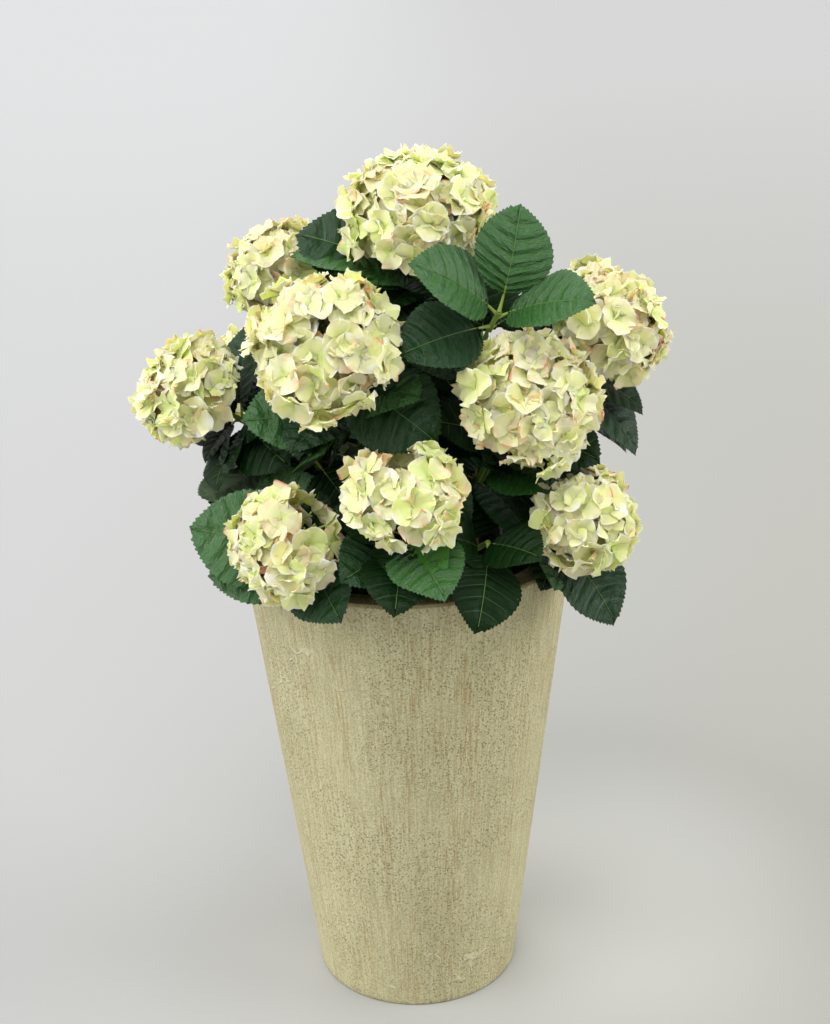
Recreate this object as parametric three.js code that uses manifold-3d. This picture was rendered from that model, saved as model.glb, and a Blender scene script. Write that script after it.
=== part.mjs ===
// Mophead hydrangea of silk and wire, planted in a tall tapered planter.
// Millimetres, +Z up, the front faces -Y, the origin is the middle of the planter's underside.
//
//   planter, planting_fill   the pot, and what fills it
//   cane_NAME                a woody stem, from a flat cut on the fill up to the first leaf
//   leaves_NAME              the green shoot that grows on from the cane, with its leaves
//   bloom_NAME               a flower head on its stalk: florets that stand out of a dense core

import * as THREE from 'three';
import { mergeVertices } from 'three/addons/utils/BufferGeometryUtils.js';
import Module from 'manifold-3d';

const wasm = await Module();
wasm.setup();

// ---------------------------------------------------------------- driving dimensions

const GAP = 0.3;                 // air between two pieces that rest on each other
const CLEARANCE = 0.5;           // least air between a leaf and any piece that it isn't part of
const MERGE = 0.05;              // detail finer than this is smoothed away where solids are fused
const ROOT_OVERLAP = 15;         // cubic millimetres that two leaves of a shoot may share at their roots
const SEED = 41;

const PLANTER = {
  height: 560, topRadius: 190, baseRadius: 121, wall: 12, floor: 14,
  lipWidth: 30, lipDepth: 16, lipFall: 2, edge: 3, segments: 44,
};
const FILL = { top: 505 };
const CANE = { footRadius: 5.5, tipRadius: 3.6, flare: 3.5, sides: 6, steps: 4, pull: 0.35 };
const SHOOT = { length: 150, lowest: 0.35, tipRadius: 2.6, sides: 5, steps: 2 };
const STALK = { length: 30, sink: 0.5, radius: 2.4, sides: 6 };
const HEAD = { depth: 0.77, core: 0.76, florets: 13, skirt: 116, hem: 0.4 };
const FLORET = { reach: 0.36, dip: 0.35, root: 0.5 };
const LEAF = {
  stations: [0, 0.19, 0.38, 0.72, 1],
  widths: [0.045, 0.07, 0.94, 0.82, 0],
  halfWidth: 0.36, thickness: 0.016, fold: 0.16, arch: 0.07,
  spread: [55, 80], length: [92, 124],
};
const PAIR = { lowest: 0.05, reach: 0.85, early: 0.3, wander: 0.4, turn: 50, spin: 30 };
const TRIES = { count: 20, setTurn: [2, 1], grownTurn: [8, 3], shorten: 0.025 };
const CROWN = { radius: 232, middle: 690, half: 250 };

// Each shoot has its foot on the fill, the middle of its flower head with the head's radius (0 for a
// leafy tip), the stalk's lean from the vertical with its compass heading, and its leaves. A leaf is
// [place along the shoot, compass heading, rise, length, roll], and pairs more grow by rule.
const SHOOTS = [
  { name: 'crest', foot: [5, 5], head: [22, -20, 938], radius: 86, lean: 10, heading: -90, pairs: 3,
    leaves: [[0.94, -178, 17, 143], [0.86, -157, 25, 110], [0.95, -28, 29, 100], [0.1, -33, -28, 115],
      [0.35, -102, 28, 100]] },
  { name: 'left_rear', foot: [-45, 30], head: [-136, 50, 864], radius: 62, lean: 35, heading: 170,
    pairs: 4, leaves: [] },
  { name: 'left_front', foot: [-30, -40], head: [-78, -150, 832], radius: 79, lean: 52, heading: -100,
    pairs: 3, leaves: [[0.6, -39, -12, 118], [0.75, 147, -4, 110]] },
  { name: 'left_side', foot: [-70, 0], head: [-231, -30, 751], radius: 68, lean: 52, heading: -155,
    pairs: 3, leaves: [[0.9, -37, 8, 112], [0.94, -59, -11, 105], [0.95, 69, 73, 115],
      [0.9, -113, -29, 95], [0.6, -135, -14, 118, 150]] },
  { name: 'right_rear', foot: [65, 20], head: [226, 20, 803], radius: 76, lean: 42, heading: -30,
    pairs: 3, leaves: [[0.9, -27, -42, 130], [0.7, -21, -32, 120], [0.95, 121, 73, 125],
      [0.94, -17, -26, 106]] },
  { name: 'right_front', foot: [42, -35], head: [131, -140, 767], radius: 75, lean: 52, heading: -75,
    pairs: 3, leaves: [[0.7, -58, -16, 118], [0.9, -32, -10, 110], [0.3, -60, -19, 118],
      [0.8, -135, 49, 118]] },
  { name: 'low_centre', foot: [0, -65], head: [-2, -200, 688], radius: 68, lean: 30, heading: -90,
    pairs: 3, leaves: [[0.94, -68, -14, 108], [0.85, -97, -21, 105], [0.7, -126, 1, 105]] },
  { name: 'low_left', foot: [-58, -58], head: [-128, -170, 626], radius: 60, lean: 60, heading: -115,
    pairs: 3, leaves: [[0.8, 175, 12, 140], [0.65, -176, -8, 128], [0.93, -72, -18, 112],
      [0.5, 154, 54, 122]] },
  { name: 'low_right', foot: [75, -48], head: [188, -140, 633], radius: 60, lean: 58, heading: -55,
    pairs: 3, leaves: [[0.95, -36, -46, 121], [0.7, -78, -6, 105], [0.4, -62, -6, 112],
      [0.94, 83, 0, 100]] },
  { name: 'fan', foot: [22, -22], head: [101, -120, 856], radius: 0, lean: 40, heading: -60, pairs: 2,
    leaves: [[1, 54, 68, 112], [0.97, -153, 35, 118], [0.93, -32, 16, 118], [0.85, -149, -6, 112],
      [0.8, 44, 0, 80]] },
  { name: 'rim_front', foot: [34, -78], head: [86, -150, 612], radius: 0, lean: 60, heading: -70,
    pairs: 0, leaves: [[1, -101, -39, 105], [0.9, -53, 9, 90], [0.7, -116, 27, 90], [0.5, 77, 45, 100]] },
  { name: 'left_inner', foot: [-28, -68], head: [-102, -75, 690], radius: 0, lean: 40, heading: -110,
    pairs: 2, leaves: [[1, -30, -48, 118], [0.8, -84, 32, 90], [0.9, 144, -41, 105]] },
  { name: 'heart_left', foot: [-5, -30], head: [-50, -20, 690], radius: 0, lean: 25, heading: -150,
    pairs: 5, leaves: [] },
  { name: 'heart_right', foot: [40, 5], head: [95, -40, 660], radius: 0, lean: 30, heading: -40,
    pairs: 5, leaves: [] },
  { name: 'heart_back', foot: [4, 88], head: [30, 120, 640], radius: 0, lean: 35, heading: 60,
    pairs: 4, leaves: [] },
  { name: 'back_high', foot: [12, 38], head: [20, 145, 838], radius: 74, lean: 40, heading: 85,
    pairs: 5, leaves: [] },
  { name: 'back_left', foot: [-66, 42], head: [-165, 165, 715], radius: 70, lean: 52, heading: 135,
    pairs: 4, leaves: [] },
  { name: 'back_right', foot: [78, 48], head: [180, 160, 700], radius: 72, lean: 52, heading: 42,
    pairs: 4, leaves: [] },
  { name: 'back_middle', foot: [-22, 66], head: [-25, 215, 690], radius: 66, lean: 55, heading: 95,
    pairs: 4, leaves: [] },
  { name: 'back_low', foot: [34, 76], head: [95, 190, 600], radius: 58, lean: 62, heading: 62,
    pairs: 3, leaves: [] },
  { name: 'back_leafy', foot: [-58, 74], head: [-110, 150, 620], radius: 0, lean: 55, heading: 125,
    pairs: 4, leaves: [] },
];


// ---------------------------------------------------------------- finishes

const stone = new THREE.MeshStandardMaterial({ color: 0xb5a987, roughness: 0.85 });
const fibre = new THREE.MeshStandardMaterial({ color: 0x3a3226, roughness: 0.95 });
const bark = new THREE.MeshStandardMaterial({ color: 0x6b5a45, roughness: 0.85 });
const leafGreen = new THREE.MeshStandardMaterial({ color: 0x2f5527, roughness: 0.45 });
const petalCream = new THREE.MeshStandardMaterial({ color: 0xefeac4, roughness: 0.8 });

// ---------------------------------------------------------------- solids and meshes

/** A manifold of a closed geometry, whose vertices are merged by position alone. */
function solidOf(geometry) {
  geometry.deleteAttribute('normal');
  geometry.deleteAttribute('uv');
  const merged = mergeVertices(geometry, 1e-4);
  return new wasm.Manifold(new wasm.Mesh({
    numProp: 3,
    vertProperties: new Float32Array(merged.attributes.position.array),
    triVerts: new Uint32Array(merged.index.array),
  }));
}

/** Solids fused into one body, with the hollows that fusing seals filled and loose scraps dropped. */
function fused(solids) {
  const bodies = wasm.Manifold.union(solids).decompose();
  const largest = bodies.reduce((big, body) => (body.volume() > big.volume() ? body : big));
  return largest.simplify(MERGE);
}

/** A named mesh of a manifold. */
function meshOf(name, solid, material) {
  const { vertProperties, triVerts } = solid.getMesh();
  const geometry = new THREE.BufferGeometry();
  geometry.setAttribute('position', new THREE.BufferAttribute(vertProperties, 3));
  geometry.setIndex(new THREE.BufferAttribute(triVerts, 1));
  geometry.computeVertexNormals();
  const mesh = new THREE.Mesh(geometry, material);
  mesh.name = name;
  return mesh;
}

/** The geometry with each vertex moved to place(vertex). */
function reshaped(geometry, place) {
  const position = geometry.attributes.position;
  const vertex = new THREE.Vector3();
  for (let i = 0; i < position.count; i += 1) {
    vertex.fromBufferAttribute(position, i);
    const { x, y, z } = place(vertex);
    position.setXYZ(i, x, y, z);
  }
  return geometry;
}

/** What random numbers are drawn for. */
const STAGE = { leaf: 0, tries: 1, bloom: 2 };

/** The seed for a stage of a shoot, and of one of its leaves. */
const seedOf = (stage, shootNumber, leafNumber = 0) => (
  SEED + 100000 * stage + 1000 * shootNumber + 25 * leafNumber
);

/** Even numbers from 0 to 1 that repeat for the same seed. */
function generator(seed) {
  let state = seed >>> 0;
  return () => {
    state = (state + 0x6d2b79f5) >>> 0;
    let mixed = Math.imul(state ^ (state >>> 15), 1 | state);
    mixed = (mixed + Math.imul(mixed ^ (mixed >>> 7), 61 | mixed)) ^ mixed;
    return ((mixed ^ (mixed >>> 14)) >>> 0) / 4294967296;
  };
}

const radians = THREE.MathUtils.degToRad;
const between = ([low, high], share) => low + (high - low) * share;

/** The unit vector of a compass heading (0 along +X, 90 along +Y) and a rise above the level. */
function compass(heading, rise) {
  const level = Math.cos(radians(rise));
  return new THREE.Vector3(
    level * Math.cos(radians(heading)),
    level * Math.sin(radians(heading)),
    Math.sin(radians(rise)),
  );
}

/** Two unit vectors square to the axis: first, second and axis are right-handed. */
function squareTo(axis) {
  const helper = Math.abs(axis.x) < 0.9 ? new THREE.Vector3(1, 0, 0) : new THREE.Vector3(0, 1, 0);
  const second = axis.clone().cross(helper).normalize();
  const first = second.clone().cross(axis);
  return { first, second };
}

// ---------------------------------------------------------------- planter and fill

const outerRadius = (z) => PLANTER.baseRadius
  + (PLANTER.topRadius - PLANTER.baseRadius) * (z / PLANTER.height);
const innerRadius = (z) => outerRadius(z) - PLANTER.wall;

/** A solid turned about the pot's axis from its profile of [radius, height]. */
function turned(profile) {
  const points = profile.map(([radius, height]) => new THREE.Vector2(radius, height));
  return solidOf(new THREE.LatheGeometry(points, PLANTER.segments).rotateX(Math.PI / 2));
}

function planterSolid() {
  const { height, edge, lipWidth, lipDepth, lipFall, floor, topRadius } = PLANTER;
  const lipInner = topRadius - lipWidth;
  const underLip = height - lipDepth;
  return turned([
    [0, 0],
    [outerRadius(0) - edge, 0],
    [outerRadius(edge), edge],
    [outerRadius(height - edge), height - edge],
    [topRadius - edge, height],
    [lipInner + edge, height - lipFall],
    [lipInner, height - lipFall - edge],
    [lipInner, underLip],
    [innerRadius(underLip - lipDepth), underLip - lipDepth],
    [innerRadius(floor), floor],
    [0, floor],
  ]);
}

function fillSolid() {
  const bottom = PLANTER.floor + GAP;
  return turned([
    [0, bottom],
    [innerRadius(bottom) - GAP, bottom],
    [innerRadius(FILL.top) - GAP, FILL.top],
    [0, FILL.top],
  ]);
}

// ---------------------------------------------------------------- canes and shoots

/** The way that a shoot's stalk points. */
const stalkDirection = (shoot) => compass(shoot.heading, 90 - shoot.lean);

/** The line of a whole stem: up from its foot, and over along its stalk. */
function stemCurve(shoot) {
  const direction = stalkDirection(shoot);
  const back = shoot.radius ? shoot.radius * STALK.sink + STALK.length : 0;
  const tip = new THREE.Vector3(...shoot.head).addScaledVector(direction, -back);
  const foot = new THREE.Vector3(...shoot.foot, FILL.top + GAP);
  const pull = CANE.pull * foot.distanceTo(tip);
  const above = foot.clone().add(new THREE.Vector3(0, 0, pull));
  const below = tip.clone().addScaledVector(direction, -pull);
  return new THREE.CubicBezierCurve3(foot, above, below, tip);
}

/** Where on its line, from 0 to 1, a stem turns from a bare cane to a leafy shoot. */
function firstLeaf(curve) {
  return Math.max(SHOOT.lowest, 1 - SHOOT.length / curve.v0.distanceTo(curve.v3));
}

/** A round limb from start to end along a curve, with its radius given along it from 0 to 1. */
function limbSolid(curve, start, end, sides, steps, radiusAt) {
  const prism = new THREE.CylinderGeometry(1, 1, 1, sides, steps);
  return solidOf(reshaped(prism, ({ x, y, z }) => {
    const share = y + 0.5;
    const place = start + (end - start) * share;
    const { first, second } = squareTo(curve.getTangent(place));
    const radius = radiusAt(share);
    return curve.getPoint(place).addScaledVector(first, z * radius).addScaledVector(second, x * radius);
  }));
}

/** The cane: woody, tapering, flared at its foot. */
function caneSolid(curve) {
  const { footRadius, tipRadius, flare, sides, steps } = CANE;
  const end = firstLeaf(curve);
  return limbSolid(curve, 0, end, sides, steps, (share) => (
    footRadius + (tipRadius - footRadius) * share + (share === 0 ? flare : 0)
  ));
}

/** The bare green shoot, a gap above the cane's tip. */
function greenStemSolid(curve) {
  const start = firstLeaf(curve) + GAP / curve.v0.distanceTo(curve.v3);
  return limbSolid(curve, start, 1, SHOOT.sides, SHOOT.steps, (share) => (
    CANE.tipRadius + (SHOOT.tipRadius - CANE.tipRadius) * share
  ));
}

// ---------------------------------------------------------------- leaves

/** A leaf from its root: a stalked oval blade, folded up along its rib and arched over. */
function leafSolid({ root, forward, normal, length }) {
  const side = forward.clone().cross(normal);
  const steps = LEAF.stations.length - 1;
  const cone = new THREE.ConeGeometry(1, 1, 4, steps);
  return solidOf(reshaped(cone, ({ x, y, z }) => {
    const step = Math.round((y + 0.5) * steps);
    const along = LEAF.stations[step];
    const shrink = step === steps ? 1 : 1 - step / steps;
    const across = (x / shrink) * LEAF.widths[step] * LEAF.halfWidth * length;
    const lift = (z / shrink) * LEAF.thickness * 0.5 * length;
    const arch = 4 * LEAF.arch * along * (1 - along) * length;
    return root.clone()
      .addScaledVector(forward, along * length)
      .addScaledVector(side, across)
      .addScaledVector(normal, lift * (step === steps ? 0 : 1) + arch + LEAF.fold * Math.abs(across));
  }));
}

/** A leaf's frame. Its upper face looks the way that the shoot grows, turned by its roll. */
function leafFrame(curve, along, forward, length, roll) {
  const start = firstLeaf(curve);
  const place = start + (1 - start) * along;
  const growth = curve.getTangent(place);
  const normal = growth.addScaledVector(forward, -growth.dot(forward)).normalize();
  normal.applyAxisAngle(forward, radians(roll));
  return { root: curve.getPoint(place), forward, normal, length };
}

/** The leaves that a shoot would have, each with its place, way, length, roll and whether it is set. */
function plannedLeaves(shoot, curve, number) {
  const set = shoot.leaves.map(([along, heading, rise, length, roll = 0]) => (
    { along, forward: compass(heading, rise), length, roll, isSet: true }
  ));
  const grown = [];
  for (let index = 0; index < 2 * shoot.pairs; index += 1) {
    const pair = Math.floor(index / 2);
    const draw = generator(seedOf(STAGE.leaf, number, index));
    const rank = pair + PAIR.early + PAIR.wander * draw();
    const along = PAIR.lowest + (PAIR.reach * rank) / shoot.pairs;
    const around = shoot.heading + 90 * pair + 180 * (index % 2) + PAIR.turn + PAIR.spin * draw();
    const spread = radians(between(LEAF.spread, draw()));
    const start = firstLeaf(curve);
    const growth = curve.getTangent(start + (1 - start) * along);
    const { first, second } = squareTo(growth);
    const forward = growth.multiplyScalar(Math.cos(spread))
      .addScaledVector(first, Math.sin(spread) * Math.cos(radians(around)))
      .addScaledVector(second, Math.sin(spread) * Math.sin(radians(around)));
    grown.push({ along, forward, length: between(LEAF.length, draw()), roll: 0, isSet: false });
  }
  return [...set, ...grown];
}

/** The planned leaf as it is on a given try: as planned at first, then turned and shortened a little. */
function triedLeaf(plan, seed, attempt) {
  if (attempt === 0) return plan;
  const draw = generator(seed + attempt);
  const [least, more] = plan.isSet ? TRIES.setTurn : TRIES.grownTurn;
  const wander = least + more * attempt;
  const turn = new THREE.Euler(
    radians(wander * (2 * draw() - 1)),
    radians(wander * (2 * draw() - 1)),
    radians(wander * (2 * draw() - 1)),
  );
  const shorter = 1 - TRIES.shorten * attempt * draw();
  return { ...plan, forward: plan.forward.clone().applyEuler(turn), length: plan.length * shorter };
}

/** Whether a point lies in the crown's rounded space. */
function inCrown({ x, y, z }) {
  return Math.hypot(Math.hypot(x, y) / CROWN.radius, (z - CROWN.middle) / CROWN.half) <= 1;
}

// ---------------------------------------------------------------- flower heads

/** The frame of a flower head: its middle, its axis and two directions across. */
function headFrame(shoot) {
  const axis = stalkDirection(shoot);
  return { middle: new THREE.Vector3(...shoot.head), axis, ...squareTo(axis) };
}

/** A point given in a head's own frame, with the head flattened along its axis. */
function onHead({ middle, axis, first, second }, { x, y, z }) {
  return middle.clone()
    .addScaledVector(first, x)
    .addScaledVector(second, y)
    .addScaledVector(axis, z * HEAD.depth);
}

/** A faceted ball in a head's frame, to the given share of its radius. */
function headBall(shoot, share, detail) {
  const frame = headFrame(shoot);
  const ball = new THREE.IcosahedronGeometry(shoot.radius * share, detail);
  return reshaped(ball, (vertex) => onHead(frame, vertex));
}

/** The whole space that a head's florets fill: its ball, flat under the lowest of them. */
function headSpace(shoot) {
  const frame = headFrame(shoot);
  const ball = new THREE.IcosahedronGeometry(shoot.radius, 2);
  const hem = -HEAD.hem * shoot.radius;
  return solidOf(reshaped(ball, ({ x, y, z }) => onHead(frame, { x, y, z: Math.max(z, hem) })));
}

/** The stalk, from a gap above the green shoot into the core. */
function stalkSolid(shoot, curve) {
  const { axis, middle } = headFrame(shoot);
  const foot = curve.v3.clone().addScaledVector(axis, GAP);
  const line = new THREE.LineCurve3(foot, middle);
  return limbSolid(line, 0, 1, STALK.sides, 1, () => STALK.radius);
}

/** One floret: four petal tips round a dipped eye, narrowing to its root in the core. */
function floretSolid(frame, radius, polar, around, turn) {
  const reach = FLORET.reach * radius;
  const way = new THREE.Vector3(
    Math.sin(polar) * Math.cos(around),
    Math.sin(polar) * Math.sin(around),
    Math.cos(polar),
  );
  const ring = Math.sqrt(radius * radius - reach * reach);
  const eye = onHead(frame, way.clone().multiplyScalar(ring));
  const root = onHead(frame, way.clone().multiplyScalar(radius * FLORET.root));
  const outward = eye.clone().sub(root).normalize();
  const { first, second } = squareTo(outward);
  const cone = new THREE.ConeGeometry(1, 1, 4, 1);
  return solidOf(reshaped(cone, ({ x, y, z }) => {
    if (y > 0) return root;
    if (Math.hypot(x, z) < 0.5) return eye.clone().addScaledVector(outward, -FLORET.dip * reach);
    const angle = Math.atan2(z, x) + turn;
    return eye.clone()
      .addScaledVector(first, reach * Math.cos(angle))
      .addScaledVector(second, reach * Math.sin(angle));
  }));
}

/** A whole flower head, with its florets spread evenly down to the skirt. */
function bloomSolid(shoot, curve, number) {
  const frame = headFrame(shoot);
  const draw = generator(seedOf(STAGE.bloom, number));
  const golden = Math.PI * (3 - Math.sqrt(5));
  const lowest = Math.cos(radians(HEAD.skirt));
  const pieces = [solidOf(headBall(shoot, HEAD.core, 0)), stalkSolid(shoot, curve)];
  for (let i = 0; i < HEAD.florets; i += 1) {
    const polar = Math.acos(1 - (1 - lowest) * ((i + 0.5) / HEAD.florets));
    pieces.push(floretSolid(frame, shoot.radius, polar, i * golden, draw() * Math.PI * 0.5));
  }
  return fused(pieces);
}

// ---------------------------------------------------------------- assembly

/** Whether two boxes come within the clearance of each other. */
function boxesMeet(one, other) {
  return [0, 1, 2].every((i) => (
    one.min[i] - CLEARANCE < other.max[i] && other.min[i] - CLEARANCE < one.max[i]
  ));
}

/** Whether a solid is clear of all the others by the clearance. */
function isClear(solid, others) {
  const box = solid.boundingBox();
  return others.every((other) => (
    !boxesMeet(box, other.boundingBox()) || solid.minGap(other, 2 * CLEARANCE) >= CLEARANCE
  ));
}

/** Whether a leaf cuts through any of its shoot's other leaves beyond their roots. */
function crosses(leaf, siblings) {
  return siblings.some((other) => leaf.intersect(other).volume() > ROOT_OVERLAP);
}

/** A planned leaf's solid on its first try that has room, or null. */
function grownLeaf(curve, plan, seed, others, siblings) {
  for (let attempt = 0; attempt < TRIES.count; attempt += 1) {
    const leaf = triedLeaf(plan, seed, attempt);
    const frame = leafFrame(curve, leaf.along, leaf.forward, leaf.length, leaf.roll);
    const tip = frame.root.clone().addScaledVector(frame.forward, frame.length);
    if (plan.isSet || inCrown(tip)) {
      const solid = leafSolid(frame);
      if (isClear(solid, others) && !crosses(solid, siblings)) return solid;
    }
  }
  return null;
}

const group = new THREE.Group();
const planter = planterSolid();
const fill = fillSolid();
group.add(meshOf('planter', planter, stone), meshOf('planting_fill', fill, fibre));

const stems = SHOOTS.map((shoot, number) => {
  const curve = stemCurve(shoot);
  return {
    shoot,
    number,
    curve,
    cane: caneSolid(curve),
    green: greenStemSolid(curve),
    bloom: shoot.radius ? bloomSolid(shoot, curve, number) : null,
    space: shoot.radius ? headSpace(shoot) : null,
    leaves: [],
  };
});

/** All that a leaf of this stem must stay clear of. */
function neighbours(stem) {
  const solids = [planter, fill];
  for (const other of stems) {
    solids.push(other.cane);
    if (other.bloom) solids.push(other.bloom, other.space);
    if (other !== stem) solids.push(other.green, ...other.leaves);
  }
  return solids;
}

/** Adds to each stem those of its planned leaves that are chosen, where they find room. */
function growLeaves(isChosen) {
  for (const stem of stems) {
    const others = neighbours(stem);
    plannedLeaves(stem.shoot, stem.curve, stem.number).forEach((plan, index) => {
      const seed = seedOf(STAGE.tries, stem.number, index);
      const leaf = isChosen(plan) ? grownLeaf(stem.curve, plan, seed, others, stem.leaves) : null;
      if (leaf) stem.leaves.push(leaf);
    });
  }
}

growLeaves((plan) => plan.isSet);
growLeaves((plan) => !plan.isSet);

for (const { shoot, cane, green, leaves, bloom } of stems) {
  group.add(meshOf(`cane_${shoot.name}`, cane, bark));
  group.add(meshOf(`leaves_${shoot.name}`, fused([green, ...leaves]), leafGreen));
  if (bloom) group.add(meshOf(`bloom_${shoot.name}`, bloom, petalCream));
}

export default group;
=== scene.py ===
"""The looks of a mophead hydrangea of silk and wire, planted in a tall tapered planter.

The plant grows by the same rule as its solids do: sizes are in millimetres and angles in degrees,
+Z is up, the front faces -Y, and meshes are scaled to metres as they are made.
"""

import logging
import math
from collections.abc import Callable, Iterator, Sequence
from dataclasses import dataclass, field, replace
from enum import Enum, IntEnum

import bmesh
import bpy
import numpy as np
from mathutils import Matrix, Vector, noise


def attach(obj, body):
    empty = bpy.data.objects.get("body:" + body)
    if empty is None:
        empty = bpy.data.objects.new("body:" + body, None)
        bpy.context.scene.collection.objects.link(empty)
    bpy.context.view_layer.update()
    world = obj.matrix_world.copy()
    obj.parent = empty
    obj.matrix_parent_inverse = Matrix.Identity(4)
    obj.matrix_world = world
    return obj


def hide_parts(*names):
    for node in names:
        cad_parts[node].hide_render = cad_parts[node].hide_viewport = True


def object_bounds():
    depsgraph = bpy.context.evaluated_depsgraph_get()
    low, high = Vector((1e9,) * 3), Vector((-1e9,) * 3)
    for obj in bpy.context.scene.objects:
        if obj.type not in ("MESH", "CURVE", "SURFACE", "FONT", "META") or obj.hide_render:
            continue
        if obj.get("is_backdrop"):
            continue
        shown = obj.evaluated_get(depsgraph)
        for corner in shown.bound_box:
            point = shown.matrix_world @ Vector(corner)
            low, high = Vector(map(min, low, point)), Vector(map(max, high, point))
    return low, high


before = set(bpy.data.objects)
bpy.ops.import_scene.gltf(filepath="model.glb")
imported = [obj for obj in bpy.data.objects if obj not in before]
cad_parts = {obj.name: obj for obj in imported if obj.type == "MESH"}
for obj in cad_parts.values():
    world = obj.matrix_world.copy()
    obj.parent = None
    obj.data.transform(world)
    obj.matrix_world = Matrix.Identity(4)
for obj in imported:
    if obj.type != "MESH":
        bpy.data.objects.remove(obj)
cad_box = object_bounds()

logging.basicConfig(level=logging.INFO, format="%(name)s: %(message)s")
log = logging.getLogger("hydrangea")

MM = 0.001
GOLDEN_HALF_TURNS = 3 - math.sqrt(5)
WORD = 0xFFFFFFFF
CHART = "chart"
Vec = np.ndarray
Draw = Callable[[], float]
Radii = Callable[[np.ndarray, np.ndarray], np.ndarray]


# ---------------------------------------------------------------- numbers, directions and curves

def even_draws(seed: int) -> Draw:
    """Gives even numbers from 0 to 1 that repeat for the same seed.

    Args:
        seed: A whole number.

    Returns:
        A function that gives the next number each time.
    """
    state = seed & WORD

    def draw() -> float:
        """Steps the state on and mixes its bits.

        Returns:
            The next number.
        """
        nonlocal state
        state = (state + 0x6D2B79F5) & WORD
        mixed = ((state ^ (state >> 15)) * (1 | state)) & WORD
        mixed = (mixed + (((mixed ^ (mixed >> 7)) * (61 | mixed)) & WORD)) & WORD ^ mixed
        return (mixed ^ (mixed >> 14)) / 2**32

    return draw


def between(limits: tuple[float, float], share: float) -> float:
    """The number that lies at a share of the way between two limits."""
    return limits[0] + (limits[1] - limits[0]) * share


def unit(vector: Vec) -> Vec:
    """The vector, or each row of vectors, at length 1."""
    return vector / np.linalg.norm(vector, axis=-1, keepdims=True)


def compass(heading: float, rise: float) -> Vec:
    """The unit vector of a compass heading (0 along +X, 90 along +Y) and a rise above the level."""
    turn, climb = math.radians(heading), math.radians(rise)
    return np.array([math.cos(climb) * math.cos(turn), math.cos(climb) * math.sin(turn), math.sin(climb)])


def swung(first: Vec, second: Vec, angle: float) -> Vec:
    """The vector that lies at an angle, in radians, from a first vector towards a second."""
    return first * math.cos(angle) + second * math.sin(angle)


def square_to(axis: Vec) -> tuple[Vec, Vec]:
    """Finds two directions square to an axis and to each other.

    Args:
        axis: The unit vector of the axis.

    Returns:
        Two unit vectors, which are right-handed with the axis.
    """
    helper = np.array([1.0, 0.0, 0.0]) if abs(axis[0]) < 0.9 else np.array([0.0, 1.0, 0.0])
    second = unit(np.cross(axis, helper))
    return np.cross(second, axis), second


@dataclass(frozen=True)
class Bezier:
    """A cubic curve from foot to tip, in millimetres."""

    foot: Vec
    above: Vec
    below: Vec
    tip: Vec

    @property
    def span(self) -> float:
        """The straight distance from foot to tip."""
        return float(np.linalg.norm(self.tip - self.foot))

    def point(self, place: float | Vec) -> Vec:
        """Finds a point, or a row of points.

        Args:
            place: The place or places, from 0 at the foot to 1 at the tip.

        Returns:
            The point or the row of points.
        """
        t = np.asarray(place, float)[..., None]
        s = 1 - t
        return s**3 * self.foot + 3 * s * s * t * self.above + 3 * s * t * t * self.below + t**3 * self.tip

    def tangent(self, place: float | Vec) -> Vec:
        """Finds the direction of the curve, or a row of directions.

        Args:
            place: The place or places, from 0 at the foot to 1 at the tip.

        Returns:
            The unit vector or the row of unit vectors.
        """
        t = np.asarray(place, float)[..., None]
        s = 1 - t
        leaving, turning, arriving = self.above - self.foot, self.below - self.above, self.tip - self.below
        return unit(s * s * leaving + 2 * s * t * turning + t * t * arriving)


# ---------------------------------------------------------------- patterns and pieces

@dataclass(frozen=True)
class Pattern:
    """A small closed mesh kept as arrays, to be laid down many times."""

    points: Vec
    corners: Vec
    counts: Vec
    regions: Vec
    chart: Vec

    @classmethod
    def of(cls, bm: bmesh.types.BMesh) -> "Pattern":
        """Reads a pattern from a bmesh, and frees it.

        Args:
            bm: The mesh. Its material numbers are the regions, and its points may have a chart.

        Returns:
            The pattern.
        """
        bm.verts.index_update()
        layer = bm.verts.layers.float_vector.get(CHART)
        pattern = cls(
            np.array([vert.co[:] for vert in bm.verts]),
            np.array([vert.index for face in bm.faces for vert in face.verts]),
            np.array([len(face.verts) for face in bm.faces]),
            np.array([face.material_index for face in bm.faces]),
            np.array([vert[layer][:2] if layer else (0, 0) for vert in bm.verts]),
        )
        bm.free()
        return pattern


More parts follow.
